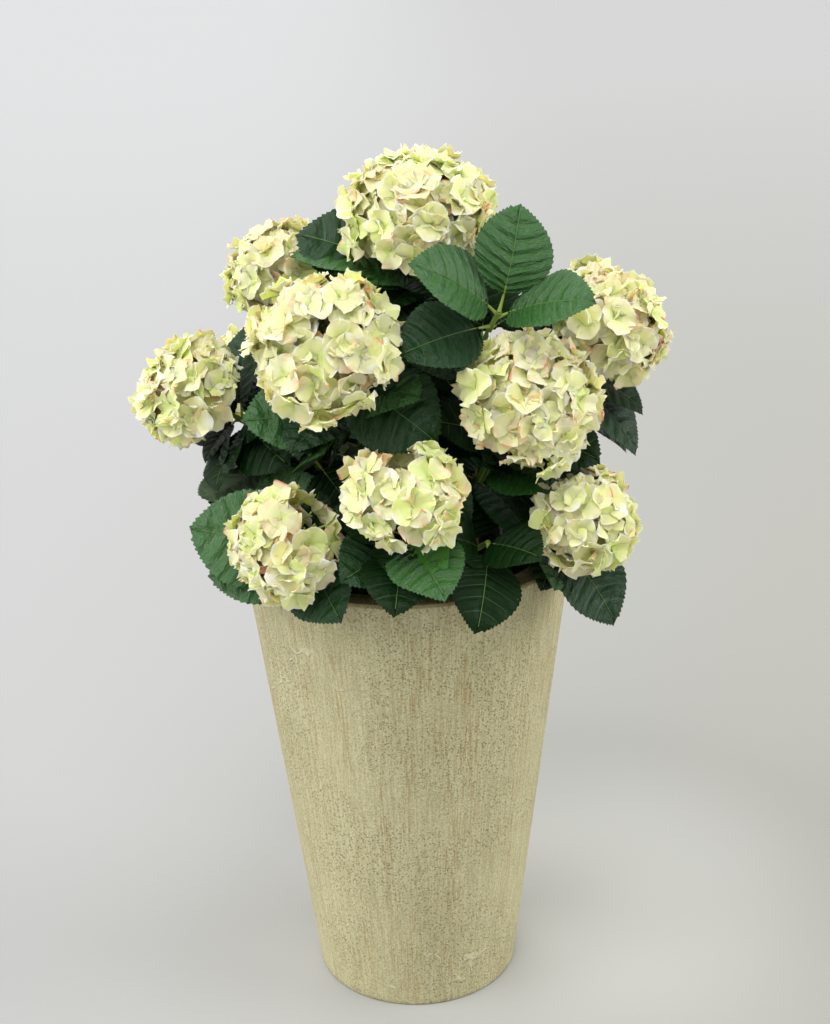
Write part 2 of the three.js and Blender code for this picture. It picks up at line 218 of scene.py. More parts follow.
class Heap:
    """Copies of patterns that are joined into one piece."""

    def __init__(self) -> None:
        """Starts empty."""
        self.points: list[Vec] = []
        self.corners: list[Vec] = []
        self.counts: list[Vec] = []
        self.finishes: list[Vec] = []
        self.charts: list[Vec] = []
        self.size = 0

    @property
    def triangles(self) -> int:
        """How many triangles the heap has."""
        return int(sum((counts - 2).sum() for counts in self.counts))

    def add(self, pattern: Pattern, points: Vec, finishes: Vec) -> None:
        """Lays a copy down.

        Args:
            pattern: The mesh that is copied.
            points: Where its points go, in millimetres.
            finishes: The material number of each of its faces.
        """
        self.points.append(points)
        self.corners.append(pattern.corners + self.size)
        self.counts.append(pattern.counts)
        self.finishes.append(finishes)
        self.charts.append(pattern.chart[pattern.corners])
        self.size += len(points)

    def piece(
        self, name: str, materials: Sequence[bpy.types.Material], crease: float = 50,
    ) -> bpy.types.Object:
        """Makes the joined object.

        Args:
            name: The piece's name.
            materials: Its materials, in the order of the finishes.
            crease: The angle from which an edge looks sharp.

        Returns:
            The object, with its place in its mesh.
        """
        counts = np.concatenate(self.counts)
        mesh = bpy.data.meshes.new(name)
        mesh.vertices.add(self.size)
        mesh.vertices.foreach_set("co", (np.concatenate(self.points) * MM).astype(np.float32).ravel())
        mesh.loops.add(int(counts.sum()))
        mesh.loops.foreach_set("vertex_index", np.concatenate(self.corners).astype(np.int32))
        mesh.polygons.add(len(counts))
        mesh.polygons.foreach_set("loop_start", (np.cumsum(counts) - counts).astype(np.int32))
        mesh.polygons.foreach_set("material_index", np.concatenate(self.finishes).astype(np.int32))
        mesh.update(calc_edges=True)
        chart = mesh.uv_layers.new(name=CHART)
        chart.data.foreach_set("uv", np.concatenate(self.charts).astype(np.float32).ravel())
        return shown(mesh, materials, crease)


def shown(mesh: bpy.types.Mesh, materials: Sequence[bpy.types.Material], crease: float) -> bpy.types.Object:
    """Puts a mesh in the scene under its own name, smoothly shaded up to its creases.

    Args:
        mesh: The mesh.
        materials: Its materials, in order.
        crease: The angle from which an edge looks sharp.

    Returns:
        The object.
    """
    for material in materials:
        mesh.materials.append(material)
    mesh.shade_smooth()
    mesh.set_sharp_from_angle(angle=math.radians(crease))
    piece = bpy.data.objects.new(mesh.name, mesh)
    bpy.context.scene.collection.objects.link(piece)
    return piece


def fitted(piece: bpy.types.Object, nodes: Sequence[str]) -> bpy.types.Object:
    """Ties a piece to the frame: it rides on the only body and stands for its nodes.

    Args:
        piece: The object.
        nodes: The nodes that it replaces.

    Returns:
        The same object.
    """
    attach(piece, "root")
    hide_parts(*nodes)
    triangles = sum(len(face.vertices) - 2 for face in piece.data.polygons)
    log.info("%s: %d triangles for %d nodes", piece.name, triangles, len(nodes))
    return piece


def bar_pattern(sides: int, rings: int) -> Pattern:
    """Makes a closed round bar of radius 1 along Z from 0 to 1.

    Args:
        sides: How many sides it has.
        rings: How many rings it is cut into.

    Returns:
        The pattern.
    """
    bm = bmesh.new()
    bmesh.ops.create_cone(bm, cap_ends=True, segments=sides, radius1=1, radius2=1, depth=1)
    uprights = [edge for edge in bm.edges if abs(edge.verts[0].co.z - edge.verts[1].co.z) > 0.5]
    bmesh.ops.subdivide_edges(bm, edges=uprights, cuts=rings - 1, use_grid_fill=True)
    bmesh.ops.translate(bm, verts=bm.verts, vec=(0, 0, 0.5))
    return Pattern.of(bm)


def along_curve(bar: Pattern, curve: Bezier, start: float, end: float, radii: Radii) -> Vec:
    """Bends a bar along a curve.

    Args:
        bar: The bar's pattern.
        curve: The curve that it follows.
        start: Where on the curve it starts.
        end: Where on the curve it ends.
        radii: Gives the radii from the shares along the bar and the angles round it.

    Returns:
        Its points.
    """
    shares = bar.points[:, 2]
    angles = np.arctan2(bar.points[:, 1], bar.points[:, 0])
    radius = radii(shares, angles)[:, None]
    places = start + (end - start) * shares
    tangents = curve.tangent(places)
    second = unit(np.cross(tangents, square_to(unit(curve.tip - curve.foot))[0]))
    first = np.cross(second, tangents)
    outward = np.cos(angles)[:, None] * first + np.sin(angles)[:, None] * second
    return curve.point(places) + radius * outward


def lathed(section: Sequence[tuple[float, float]], turns: int) -> bmesh.types.BMesh:
    """Turns a section round the upright axis, into a closed solid.

    Args:
        section: Its points, as radius and height, with the first and the last on the axis.
        turns: How many steps a full turn has.

    Returns:
        The solid in millimetres, with its faces outwards.
    """
    bm = bmesh.new()
    points = [bm.verts.new((radius, 0, z)) for radius, z in section]
    edges = [bm.edges.new(pair) for pair in zip(points, points[1:])]
    bmesh.ops.spin(
        bm, geom=points + edges, cent=(0, 0, 0), axis=(0, 0, 1), angle=math.tau, steps=turns, use_merge=True,
    )
    bmesh.ops.remove_doubles(bm, verts=bm.verts, dist=0.01)
    bmesh.ops.recalc_face_normals(bm, faces=bm.faces)
    return bm


def in_metres(bm: bmesh.types.BMesh, name: str) -> bpy.types.Mesh:
    """Makes a mesh of a bmesh in millimetres, and frees the bmesh.

    Args:
        bm: The bmesh.
        name: The mesh's name.

    Returns:
        The mesh, in metres.
    """
    bmesh.ops.scale(bm, verts=bm.verts, vec=(MM, MM, MM))
    mesh = bpy.data.meshes.new(name)
    bm.to_mesh(mesh)
    bm.free()
    return mesh


# ---------------------------------------------------------------- shader maths

def linear(code: str) -> tuple[float, float, float, float]:
    """The scene colour of a written colour such as d8c9a0."""
    shares = [int(code[i:i + 2], 16) / 255 for i in (0, 2, 4)]
    return (*[s / 12.92 if s <= 0.04045 else ((s + 0.055) / 1.055) ** 2.4 for s in shares], 1.0)


class Wave:
    """One output of a shader node, on which plain maths adds Math nodes."""

    def __init__(self, shader: "Shader", socket: bpy.types.NodeSocket) -> None:
        """Wraps a socket of a shader."""
        self.shader = shader
        self.socket = socket

    def maths(self, operation: str, *values: "float | Wave") -> "Wave":
        """The result of a Math node on these values."""
        return self.shader.node("ShaderNodeMath", {"operation": operation}, dict(enumerate(values)))

    def __add__(self, other: "float | Wave") -> "Wave":
        """The sum."""
        return self.maths("ADD", self, other)

    __radd__ = __add__

    def __mul__(self, other: "float | Wave") -> "Wave":
        """The product."""
        return self.maths("MULTIPLY", self, other)

    __rmul__ = __mul__

    def __sub__(self, other: "float | Wave") -> "Wave":
        """The difference."""
        return self.maths("SUBTRACT", self, other)

    def __rsub__(self, other: "float | Wave") -> "Wave":
        """The difference from the other side."""
        return self.maths("SUBTRACT", other, self)

    def step(self, low: float, high: float) -> "Wave":
        """Rises smoothly from 0 at low to 1 at high."""
        settings = {"interpolation_type": "SMOOTHSTEP"}
        return self.shader.node("ShaderNodeMapRange", settings, {0: self, 1: low, 2: high})


class Shader:
    """A material's nodes round its one surface."""

    def __init__(self, name: str) -> None:
        """Starts a material.

        Args:
            name: The material's name.
        """
        self.material = bpy.data.materials.new(name)
        self.material.use_nodes = True
        self.tree = self.material.node_tree
        self.surface = self.tree.nodes["Principled BSDF"]

    def node(self, kind: str, settings: dict, inputs: dict, output: int = 0) -> Wave:
        """Adds a node.

        Args:
            kind: The node's type.
            settings: Its own settings, which are set first.
            inputs: The values or links of its sockets, by number or name.
            output: Which of its outputs is wanted.

        Returns:
            That output.
        """
        added = self.tree.nodes.new(kind)
        for name, value in settings.items():
            setattr(added, name, value)
        for key, value in inputs.items():
            self.feed(added.inputs[key], value)
        return Wave(self, added.outputs[output])

    def feed(self, socket: bpy.types.NodeSocket, value: object) -> None:
        """Links a wave to a socket, or sets the socket to a plain value.

        Args:
            socket: The socket.
            value: The wave or the value.
        """
        if isinstance(value, Wave):
            self.tree.links.new(value.socket, socket)
        else:
            socket.default_value = value

    def put(self, **values: object) -> None:
        """Feeds sockets of the surface by name, with _ for a space."""
        for name, value in values.items():
            self.feed(self.surface.inputs[name.replace("_", " ")], value)

    def place(self) -> Wave:
        """The place on the object, in metres."""
        return self.node("ShaderNodeTexCoord", {}, {}, output=3)

    def chart(self) -> Wave:
        """The place on the piece's own chart."""
        return self.node("ShaderNodeUVMap", {"uv_map": CHART}, {})

    def scaled(self, place: Wave, scale: Sequence[float]) -> Wave:
        """A place stretched along each axis."""
        return self.vector("MULTIPLY", place, tuple(scale))

    def vector(self, operation: str, *values: object, output: int = 0) -> Wave:
        """The result of a Vector Math node on these values."""
        return self.node("ShaderNodeVectorMath", {"operation": operation}, dict(enumerate(values)), output)

    def noise(self, place: Wave, scale: float, detail: float = 2, rough: float = 0.5) -> Wave:
        """Soft noise, from about 0.25 to 0.75."""
        inputs = {"Vector": place, "Scale": scale, "Detail": detail, "Roughness": rough}
        return self.node("ShaderNodeTexNoise", {}, inputs)

    def blend(self, share: Wave, low: object, high: object) -> Wave:
        """A colour between two colours."""
        return self.node("ShaderNodeMix", {"data_type": "RGBA"}, {0: share, 6: low, 7: high}, output=2)

    def bump(self, height: Wave, depth: float, strength: float = 1.0) -> None:
        """Gives the surface a relief, whose depth is in metres."""
        inputs = {"Strength": strength, "Distance": depth, "Height": height}
        self.put(Normal=self.node("ShaderNodeBump", {}, inputs))


# ---------------------------------------------------------------- finishes

@dataclass(frozen=True)
class StoneFinish:
    """Cast stone, brushed down while wet: grain, pits darkened with painted shade, streaks, raised hairlines
    and a tanner lip.

    Widths, heights and depths are in millimetres, and scales are in patterns per metre. A mask gives
    the values from which and up to which a pattern counts, and a weight says how strongly it shows.
    """

    light: str = "dbd4ab"
    shade: str = "a6a176"
    tan: str = "ae905c"
    # The colour of the pits: painted shade in holes that are only a bump.
    pit_shade: str = "776845"
    crest: str = "e6dfba"
    lip: str = "a5976e"
    lip_shade: str = "82764f"
    radius: float = 155
    streak_width: float = 3.0
    streak_length: float = 70
    cloud_scale: float = 11
    grain_width: float = 1.9
    pit_width: float = 3.4
    pit_mask: tuple[float, float] = (0.34, 0.18)
    pit_weight: float = 0.5
    patch_scale: float = 9
    patch_mask: tuple[float, float] = (0.28, 0.6)
    hairline_spacing: float = 260
    hairline_mask: tuple[float, float] = (0.005, 0.0015)
    hairline_wander: float = 0.11
    hairline_weight: float = 0.55
    stretch_mask: tuple[float, float] = (0.44, 0.52)
    ring_width: float = 2.2
    lip_height: float = 554
    lip_edge: float = 2.5
    relief: float = 1.3

    def material(self) -> bpy.types.Material:
        """Makes the stone.

        Returns:
            The material.
        """
        shader = Shader("planter_stone")
        place = shader.place()
        wall, height = self.unrolled(shader, place)
        streaks = shader.noise(wall, 1 / (self.streak_width * MM), 2, 0.55)
        bands = shader.noise(wall, 0.1 / (self.streak_width * MM), 2)
        threads = shader.noise(wall, 2 / (self.streak_width * MM), 1)
        clouds = shader.noise(place, self.cloud_scale, 3)
        grain = shader.noise(place, 1 / (self.grain_width * MM), 3, 0.65)
        pits = self.pits(shader, place)
        hairlines = self.hairlines(shader, place)

        share = streaks.step(0.3, 0.7) * 0.28 + grain.step(0.38, 0.66) * 0.6 + clouds.step(0.35, 0.65) * 0.12
        colour = shader.blend(share, linear(self.light), linear(self.shade))
        tan = threads.step(0.48, 0.68) * (0.2 + 0.4 * bands.step(0.44, 0.6))
        colour = shader.blend(tan, colour, linear(self.tan))
        # The pits are darkened as painted shade.
        colour = shader.blend(pits * self.pit_weight, colour, linear(self.pit_shade))
        colour = shader.blend(hairlines * self.hairline_weight, colour, linear(self.crest))
        rings = shader.noise(self.rings(shader, place), 1, 3).step(0.35, 0.65)
        mottle = rings * 0.8 + grain.step(0.35, 0.65) * 0.2
        lip = shader.blend(mottle, linear(self.lip), linear(self.lip_shade))
        level = self.lip_height * MM
        colour = shader.blend(height.step(level, level + self.lip_edge * MM), colour, lip)
        shader.put(Base_Color=colour, Roughness=0.75 + 0.15 * share, Specular_IOR_Level=0.3)
        shader.bump(0.2 * streaks + 0.9 * grain - 0.9 * pits + 0.9 * hairlines, self.relief * MM)
        return shader.material

    def unrolled(self, shader: Shader, place: Wave) -> tuple[Wave, Wave]:
        """Lays the wall out flat, so that streaks run down it.

        Args:
            shader: The stone's nodes.
            place: The place on the object.

        Returns:
            The place with the taper taken out and the height drawn together, and the height.
        """
        height = shader.node("ShaderNodeSeparateXYZ", {}, {0: place}, output=2)
        around = shader.vector("NORMALIZE", shader.scaled(place, (1, 1, 0)))
        around = shader.scaled(around, (self.radius * MM, self.radius * MM, 0))
        squeeze = self.streak_width / self.streak_length
        return shader.vector("ADD", around, shader.scaled(place, (0, 0, squeeze))), height

    def rings(self, shader: Shader, place: Wave) -> Wave:
        """Bends the place round the lip.

        Args:
            shader: The stone's nodes.
            place: The place on the object.

        Returns:
            A place whose pattern runs round the lip in rings.
        """
        radius = shader.vector("LENGTH", shader.scaled(place, (1, 1, 0)), output=1)
        turn = shader.vector("NORMALIZE", shader.scaled(place, (1, 1, 0)))
        outward = shader.node("ShaderNodeCombineXYZ", {}, {2: radius * (1 / (self.ring_width * MM))})
        return shader.vector("ADD", shader.scaled(turn, (3, 3, 0)), outward)

    def pits(self, shader: Shader, place: Wave) -> Wave:
        """Makes small round holes here and there: a mask that dents the stone and darkens it as painted
        shade.

        Args:
            shader: The stone's nodes.
            place: The place on the object.

        Returns:
            Their mask.
        """
        cells = {"Vector": place, "Scale": 1 / (self.pit_width * MM)}
        holes = shader.node("ShaderNodeTexVoronoi", {}, cells).step(*self.pit_mask)
        return holes * shader.noise(place, self.patch_scale, 3).step(*self.patch_mask)

    def hairlines(self, shader: Shader, place: Wave) -> Wave:
        """Makes a few thin lines that wander.

        Args:
            shader: The stone's nodes.
            place: The place on the object.

        Returns:
            Their mask.
        """
        wobble = shader.node("ShaderNodeTexNoise", {}, {"Vector": place, "Scale": 12, "Detail": 3}, output=1)
        moved = shader.vector("MULTIPLY_ADD", wobble, (self.hairline_wander,) * 3, place)
        cells = {"Vector": moved, "Scale": 1 / (self.hairline_spacing * MM)}
        edge = shader.node("ShaderNodeTexVoronoi", {"feature": "DISTANCE_TO_EDGE"}, cells)
        return edge.step(*self.hairline_mask) * shader.noise(place, 5, 1).step(*self.stretch_mask)


@dataclass(frozen=True)
class RoughFinish:
    """A matte mottled surface in two colours: bark or planting fibre."""

    name: str
    light: str
    dark: str
    grain: float
    stretch: float = 1.0
    depth: float = 0.8

    def material(self) -> bpy.types.Material:
        """Makes the finish.

        Returns:
            The material.
        """
        shader = Shader(self.name)
        place = shader.scaled(shader.place(), (1, 1, self.stretch))
        grain = shader.noise(place, 1 / (self.grain * MM), 4, 0.65)
        share = grain.step(0.32, 0.66)
        colour = shader.blend(share, linear(self.dark), linear(self.light))
        shader.put(Base_Color=colour, Roughness=0.95 - 0.2 * share, Specular_IOR_Level=0.25)
        shader.bump(grain, self.depth * MM)
        return shader.material


@dataclass(frozen=True)
class SilkFinish:
    """Dyed cloth of a plain colour: its sheen and its fine print wander over the surface."""

    name: str
    colour: str
    gloss: tuple[float, float] = (0.7, 0.85)
    grain: float = 1.5
    depth: float = 0.12
    glow: float = 0.0
    glow_depth: float = 1.1
    sheen: float = 0.3

    def material(self) -> bpy.types.Material:
        """Makes the finish.

        Returns:
            The material.
        """
        shader = Shader(self.name)
        place = shader.place()
        grain = shader.noise(place, 1 / (self.grain * MM), 2)
        broad = shader.noise(place, 60, 1).step(0.35, 0.65)
        low, high = self.gloss
        shader.put(Base_Color=linear(self.colour), Roughness=low + (high - low) * broad)
        shader.put(Specular_IOR_Level=self.sheen)
        if self.glow:
            shader.put(Subsurface_Weight=self.glow, Subsurface_Radius=(1.0, 1.0, 0.8))
            shader.put(Subsurface_Scale=self.glow_depth * MM)
        shader.bump(grain, self.depth * MM)
        return shader.material


@dataclass(frozen=True)
class LeafFinish:
    """Printed and pressed silk: a plain green, quilted and finely wrinkled between its side veins."""

    name: str
    colour: str
    gloss: tuple[float, float] = (0.3, 0.5)
    sheen: float = 0.34
    wrinkle: float = 2.2

    def material(self) -> bpy.types.Material:
        """Makes the finish.

        Returns:
            The material.
        """
        shader = Shader(self.name)
        chart = shader.chart()
        wrinkles = shader.noise(shader.scaled(chart, (5, 70, 1)), 1, 3, 0.6)
        folds = shader.noise(shader.scaled(chart, (2.5, 24, 1)), 1, 1)
        weave = shader.noise(shader.place(), 1 / (1.3 * MM), 1)
        broad = shader.noise(shader.scaled(chart, (2, 14, 1)), 1, 2).step(0.35, 0.65)
        past = shader.node("ShaderNodeSeparateXYZ", {}, {0: chart}, output=1) - LeafShape.first_vein
        half_gap = (LeafShape.last_vein - LeafShape.first_vein) / (LeafShape.veins - 1) / 2
        quilts = past.maths("PINGPONG", past, half_gap).step(0, half_gap)
        low, high = self.gloss
        shader.put(Base_Color=linear(self.colour), Roughness=low + (high - low) * broad)
        shader.put(Specular_IOR_Level=self.sheen)
        shader.bump(0.35 * wrinkles + 0.7 * folds + 0.4 * quilts + 0.15 * weave, self.wrinkle * MM)
        return shader.material


# ---------------------------------------------------------------- planter and fill

@dataclass
class Planter:
    """A tall tapered pot with a flat lip, turned from its profile."""

    height: float = 560
    top_radius: float = 190
    base_radius: float = 121
    wall: float = 12
    floor: float = 14
    lip_width: float = 30
    lip_depth: float = 16
    lip_fall: float = 2
    edge: float = 3
    turns: int = 160
    rows: int = 90
    waver: float = 0.5
    waver_width: float = 60
    finish: StoneFinish = field(default_factory=StoneFinish)

    def outer(self, height: float) -> float:
        """The outer radius at a height."""
        return self.base_radius + (self.top_radius - self.base_radius) * height / self.height

    def profile(self) -> list[tuple[float, float]]:
        """Draws the wall's section, from the middle of the underside out, up, over and down inside.

        Returns:
            Its points, as radius and height.
        """
        lip = self.top_radius - self.lip_width
        under = self.height - self.lip_depth
        wall_foot, wall_top = self.edge, self.height - self.edge
        outside = [wall_foot + (wall_top - wall_foot) * i / self.rows for i in range(self.rows + 1)]
        inside = under - self.lip_depth
        return [
            (0, 0),
            (self.outer(0) - self.edge, 0),
            (self.outer(0) - self.edge * 0.3, self.edge * 0.3),
            *[(self.outer(z), z) for z in outside],
            (self.top_radius - self.edge * 0.3, self.height - self.edge * 0.3),
            (self.top_radius - self.edge, self.height),
            (self.top_radius - self.lip_width * 0.5, self.height - self.lip_fall * 0.6),
            (lip + self.edge, self.height - self.lip_fall),
            (lip + self.edge * 0.3, self.height - self.lip_fall - self.edge * 0.3),
            (lip, self.height - self.lip_fall - self.edge),
            (lip, under),
            (self.outer(inside) - self.wall, inside),
            (self.outer(self.floor) - self.wall, self.floor),
            (0, self.floor),
        ]

    def build(self) -> bpy.types.Object:
        """Makes the pot.

        Returns:
            Its one piece.
        """
        bm = lathed(self.profile(), self.turns)
        for vert in bm.verts:
            if self.edge < vert.co.z < self.height - self.edge:
                wave = noise.noise(Vector((vert.co.x, vert.co.y, vert.co.z * 0.3)) / self.waver_width)
                outward = Vector((vert.co.x, vert.co.y, 0)).normalized()
                vert.co += outward * self.waver * (wave - 0.5)
        mesh = in_metres(bm, "planter_wall")
        return fitted(shown(mesh, [self.finish.material()], 40), ["planter"])


@dataclass
class PlantingFill:
    """The dark fibre that the stems stand in, lumpy on top."""

    pot: Planter
    top: float = 505
    gap: float = 0.3
    turns: int = 96
    rings: int = 30
    lump: float = 3.5
    lump_width: float = 14
    finish: RoughFinish = RoughFinish("planting_fibre", "4a3f2c", "1f1a12", 5, depth=2.5)

    def build(self) -> bpy.types.Object:
        """Makes the fill.

        Returns:
            Its one piece.
        """
        pot = self.pot
        low = pot.floor + self.gap
        foot = pot.outer(low) - pot.wall - self.gap
        rim = pot.outer(self.top) - pot.wall - self.gap
        section = [(0, low), (foot, low), (rim, self.top)]
        section += [(rim * (1 - (i + 1) / self.rings), self.top) for i in range(self.rings)]
        bm = lathed(section, self.turns)
        for vert in bm.verts:
            if vert.co.z > self.top - 1 and vert.co.xy.length < rim - 1:
                vert.co.z += self.lump * noise.fractal(vert.co / self.lump_width, 1, 2, 4)
        mesh = in_metres(bm, "planting_fibre")
        return fitted(shown(mesh, [self.finish.material()], 60), ["planting_fill"])


# ---------------------------------------------------------------- the growth rule

class Stage(IntEnum):
    """What random numbers are drawn for."""

    LEAF = 0
    TRIES = 1
    BLOOM = 2
    DRESS = 3
    YOUNG = 4


class LeafTone(IntEnum):
    """The green that a leaf is dyed; the deep green is darkened as painted shade, and set on low and shaded
    leaves.
    """

    DEEP = 0
    COOL = 1
    MIDDLE = 2
    FRESH = 3


DEEP, COOL, MIDDLE, FRESH = LeafTone


@dataclass(frozen=True)
class LeafPlan:
    """A leaf that a shoot would have, and whether it is set or grown by the rule."""

    along: float
    forward: Vec
    length: float
    roll: float
    is_set: bool


@dataclass(frozen=True)
class LeafPlace:
    """Where a leaf is: its root, the way it points, the way its upper face looks, and its length."""

    root: Vec
    forward: Vec
    normal: Vec
    length: float

    def lay(self, points: Vec) -> Vec:
        """Puts points of a leaf's shape where this leaf is.

        Args:
            points: The points as across, along and up, in shares of the leaf's length.

        Returns:
            The points in millimetres.
        """
        across = np.cross(self.forward, self.normal)
        basis = np.array([across, self.forward, self.normal]) * self.length
        return self.root + points @ basis


@dataclass(frozen=True)
class Growth:
    """The sizes and chances that all shoots share."""

    seed: int = 41
    gap: float = 0.3
    fill_top: float = 505
    pull: float = 0.35
    stalk_length: float = 30
    stalk_sink: float = 0.5
    shoot_length: float = 150
    shoot_lowest: float = 0.35
    spread: tuple[float, float] = (55, 80)
    leaf_length: tuple[float, float] = (92, 124)
    pair_lowest: float = 0.05
    pair_reach: float = 0.85
    pair_early: float = 0.3
    pair_wander: float = 0.4
    pair_turn: float = 50
    pair_spin: float = 30
    young: int = 5
    young_wander: float = 0.7
    young_along: tuple[float, float] = (0.9, 1.0)
    young_spread: tuple[float, float] = (68, 96)
    young_length: tuple[float, float] = (52, 76)
    tries: int = 20
    set_turn: tuple[float, float] = (2, 1)
    grown_turn: tuple[float, float] = (8, 3)
    shorten: float = 0.025
    stage_seeds: int = 100000
    shoot_seeds: int = 1000
    leaf_seeds: int = 25

    def seed_of(self, stage: Stage, shoot: int, leaf: int = 0) -> int:
        """The seed for a stage of a shoot, and of one of its leaves."""
        return self.seed + self.stage_seeds * int(stage) + self.shoot_seeds * shoot + self.leaf_seeds * leaf


@dataclass(frozen=True)
class Shoot:
    """A stem with its flower head or leafy tip.

    A leaf is its place along the shoot, compass heading, rise, length and roll. More pairs grow by
    rule. The tones are those of these leaves, in order, where chance does not choose them; the deep
    green set on low and hidden leaves is painted shade. A twig leaf is a finer one that the solids
    leave out, with its tone after its roll.

    A parting is the heading and rise, seen from the head's middle, where florets stand apart, and
    the angle that it spreads. A stray is the heading, rise and reach, as a share of the head's
    radius, of a floret that hangs or stands out of the head. Grown is the share of the radius
    to which the florets have grown.
    """

    name: str
    foot: tuple[float, float]
    head: tuple[float, float, float]
    radius: float
    lean: float
    heading: float
    pairs: int
    leaves: tuple[tuple[float, ...], ...] = ()
    partings: tuple[tuple[float, float, float], ...] = ()
    strays: tuple[tuple[float, float, float], ...] = ()
    tones: tuple[LeafTone, ...] = ()
    twig_leaves: tuple[tuple[float, float, float, float, float, LeafTone], ...] = ()
    grown: float = 1

    @property
    def direction(self) -> Vec:
        """The way that the stalk points."""
        return compass(self.heading, 90 - self.lean)

    def curve(self, rule: Growth) -> Bezier:
        """Draws the line of the whole stem: up from its foot, and over along its stalk.

        Args:
            rule: The growth rule.

        Returns:
            The line.
        """
        back = self.radius * rule.stalk_sink + rule.stalk_length if self.radius else 0
        tip = np.array(self.head) - self.direction * back
        foot = np.array([*self.foot, rule.fill_top + rule.gap])
        pull = rule.pull * np.linalg.norm(tip - foot)
        return Bezier(foot, foot + np.array([0, 0, pull]), tip - self.direction * pull, tip)


class Stem:
    """A shoot as it has grown: its curve, and the leaves that found room in the solids."""

    def __init__(self, shoot: Shoot, number: int, rule: Growth) -> None:
        """Grows the shoot by the rule.

        Args:
            shoot: The shoot.
            number: Its number among the shoots.
            rule: The growth rule.
        """
        self.shoot = shoot
        self.number = number
        self.rule = rule
        self.curve = shoot.curve(rule)
        self.start = max(rule.shoot_lowest, 1 - rule.shoot_length / self.curve.span)

    def place(self, along: float) -> float:
        """The place on the curve of a share along the shoot."""
        return self.start + (1 - self.start) * along

    def outward(self, along: float, around: float, spread: float) -> Vec:
        """Finds the way that a grown leaf points.

        Args:
            along: Its share along the shoot.
            around: Its angle round the shoot, in radians.
            spread: Its angle from the shoot, in radians.

        Returns:
            The unit vector.
        """
        growth = self.curve.tangent(self.place(along))
        return swung(growth, swung(*square_to(growth), around), spread)

    def leaf_place(self, leaf: LeafPlan) -> LeafPlace:
        """Works out where a planned leaf would be.

        Args:
            leaf: The planned leaf.

        Returns:
            Its place.
        """
        root, growth = self.curve.point(self.place(leaf.along)), self.curve.tangent(self.place(leaf.along))
        normal = unit(growth - leaf.forward * float(growth @ leaf.forward))
        turn = Matrix.Rotation(math.radians(leaf.roll), 3, Vector(leaf.forward))
        return LeafPlace(root, leaf.forward, np.array(turn @ Vector(normal)), leaf.length)

    def plans(self) -> Iterator[LeafPlan]:
        """Plans the leaves of the shoot.

        Yields:
            The set ones, and then the grown ones.
        """
        shoot, rule = self.shoot, self.rule
        for along, heading, rise, length, *roll in shoot.leaves:
            yield LeafPlan(along, compass(heading, rise), length, roll[0] if roll else 0, True)
        for index in range(2 * shoot.pairs):
            pair, side = divmod(index, 2)
            draw = even_draws(rule.seed_of(Stage.LEAF, self.number, index))
            rank = pair + rule.pair_early + rule.pair_wander * draw()
            along = rule.pair_lowest + rule.pair_reach * rank / shoot.pairs
            around = shoot.heading + 90 * pair + 180 * side + rule.pair_turn + rule.pair_spin * draw()
            spread = between(rule.spread, draw())
            forward = self.outward(along, math.radians(around), math.radians(spread))
            yield LeafPlan(along, forward, between(rule.leaf_length, draw()), 0, False)

    def tried(self, plan: LeafPlan, seed: int, attempt: int) -> LeafPlan:
        """Turns and shortens a planned leaf a little more on each try.

        Args:
            plan: The planned leaf.
            seed: The seed of its tries.
            attempt: The number of the try. On the first, 0, the leaf is as planned.

        Returns:
            The leaf as tried.
        """
        if attempt == 0:
            return plan
        draw = even_draws(seed + attempt)
        least, more = self.rule.set_turn if plan.is_set else self.rule.grown_turn
        wander = math.radians(least + more * attempt)
        turns = [Matrix.Rotation(wander * (2 * draw() - 1), 3, axis) for axis in "XYZ"]
        forward = np.array(turns[0] @ turns[1] @ turns[2] @ Vector(plan.forward))
        length = plan.length * (1 - self.rule.shorten * attempt * draw())
        return LeafPlan(plan.along, forward, length, plan.roll, plan.is_set)

    def leaves(self, reach: float = 0.3) -> Iterator[tuple[LeafPlace, LeafTone | None]]:
        """Finds the leaves that the stem's solid has, each on the try whose tip is a corner of it.

        Args:
            reach: How near to a corner a tip has to come.

        Yields:
            Each leaf's place, and its tone if it has one of its own.
        """
        tones = self.shoot.tones
        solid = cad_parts[f"leaves_{self.shoot.name}"].data
        corners = np.array([vertex.co[:] for vertex in solid.vertices]) / MM
        for index, plan in enumerate(self.plans()):
            seed = self.rule.seed_of(Stage.TRIES, self.number, index)
            for attempt in range(self.rule.tries):
                place = self.leaf_place(self.tried(plan, seed, attempt))
                tip = place.root + place.forward * place.length
                if np.linalg.norm(corners - tip, axis=1).min() < reach:
                    yield place, tones[index] if index < len(tones) else None
                    break

    def twig_leaves(self) -> Iterator[tuple[LeafPlace, LeafTone | None]]:
        """Grows the finer leaves, which keep within the reach of the solid.

        Yields:
            The place and tone of each: the set ones, and then a ring under the head in the deep green, as
                painted shade.
        """
        for along, heading, rise, length, roll, tone in self.shoot.twig_leaves:
            yield self.leaf_place(LeafPlan(along, compass(heading, rise), length, roll, True)), tone
        rule = self.rule
        draw = even_draws(rule.seed_of(Stage.YOUNG, self.number))
        for index in range(rule.young if self.shoot.radius else 0):
            along = between(rule.young_along, draw())
            spread = math.radians(between(rule.young_spread, draw()))
            around = math.tau * (index + rule.young_wander * draw()) / rule.young
            length = between(rule.young_length, draw())
            plan = LeafPlan(along, self.outward(along, around, spread), length, 0, False)
            # Under the head the leaves take the deep green, as painted shade.
            yield self.leaf_place(plan), DEEP
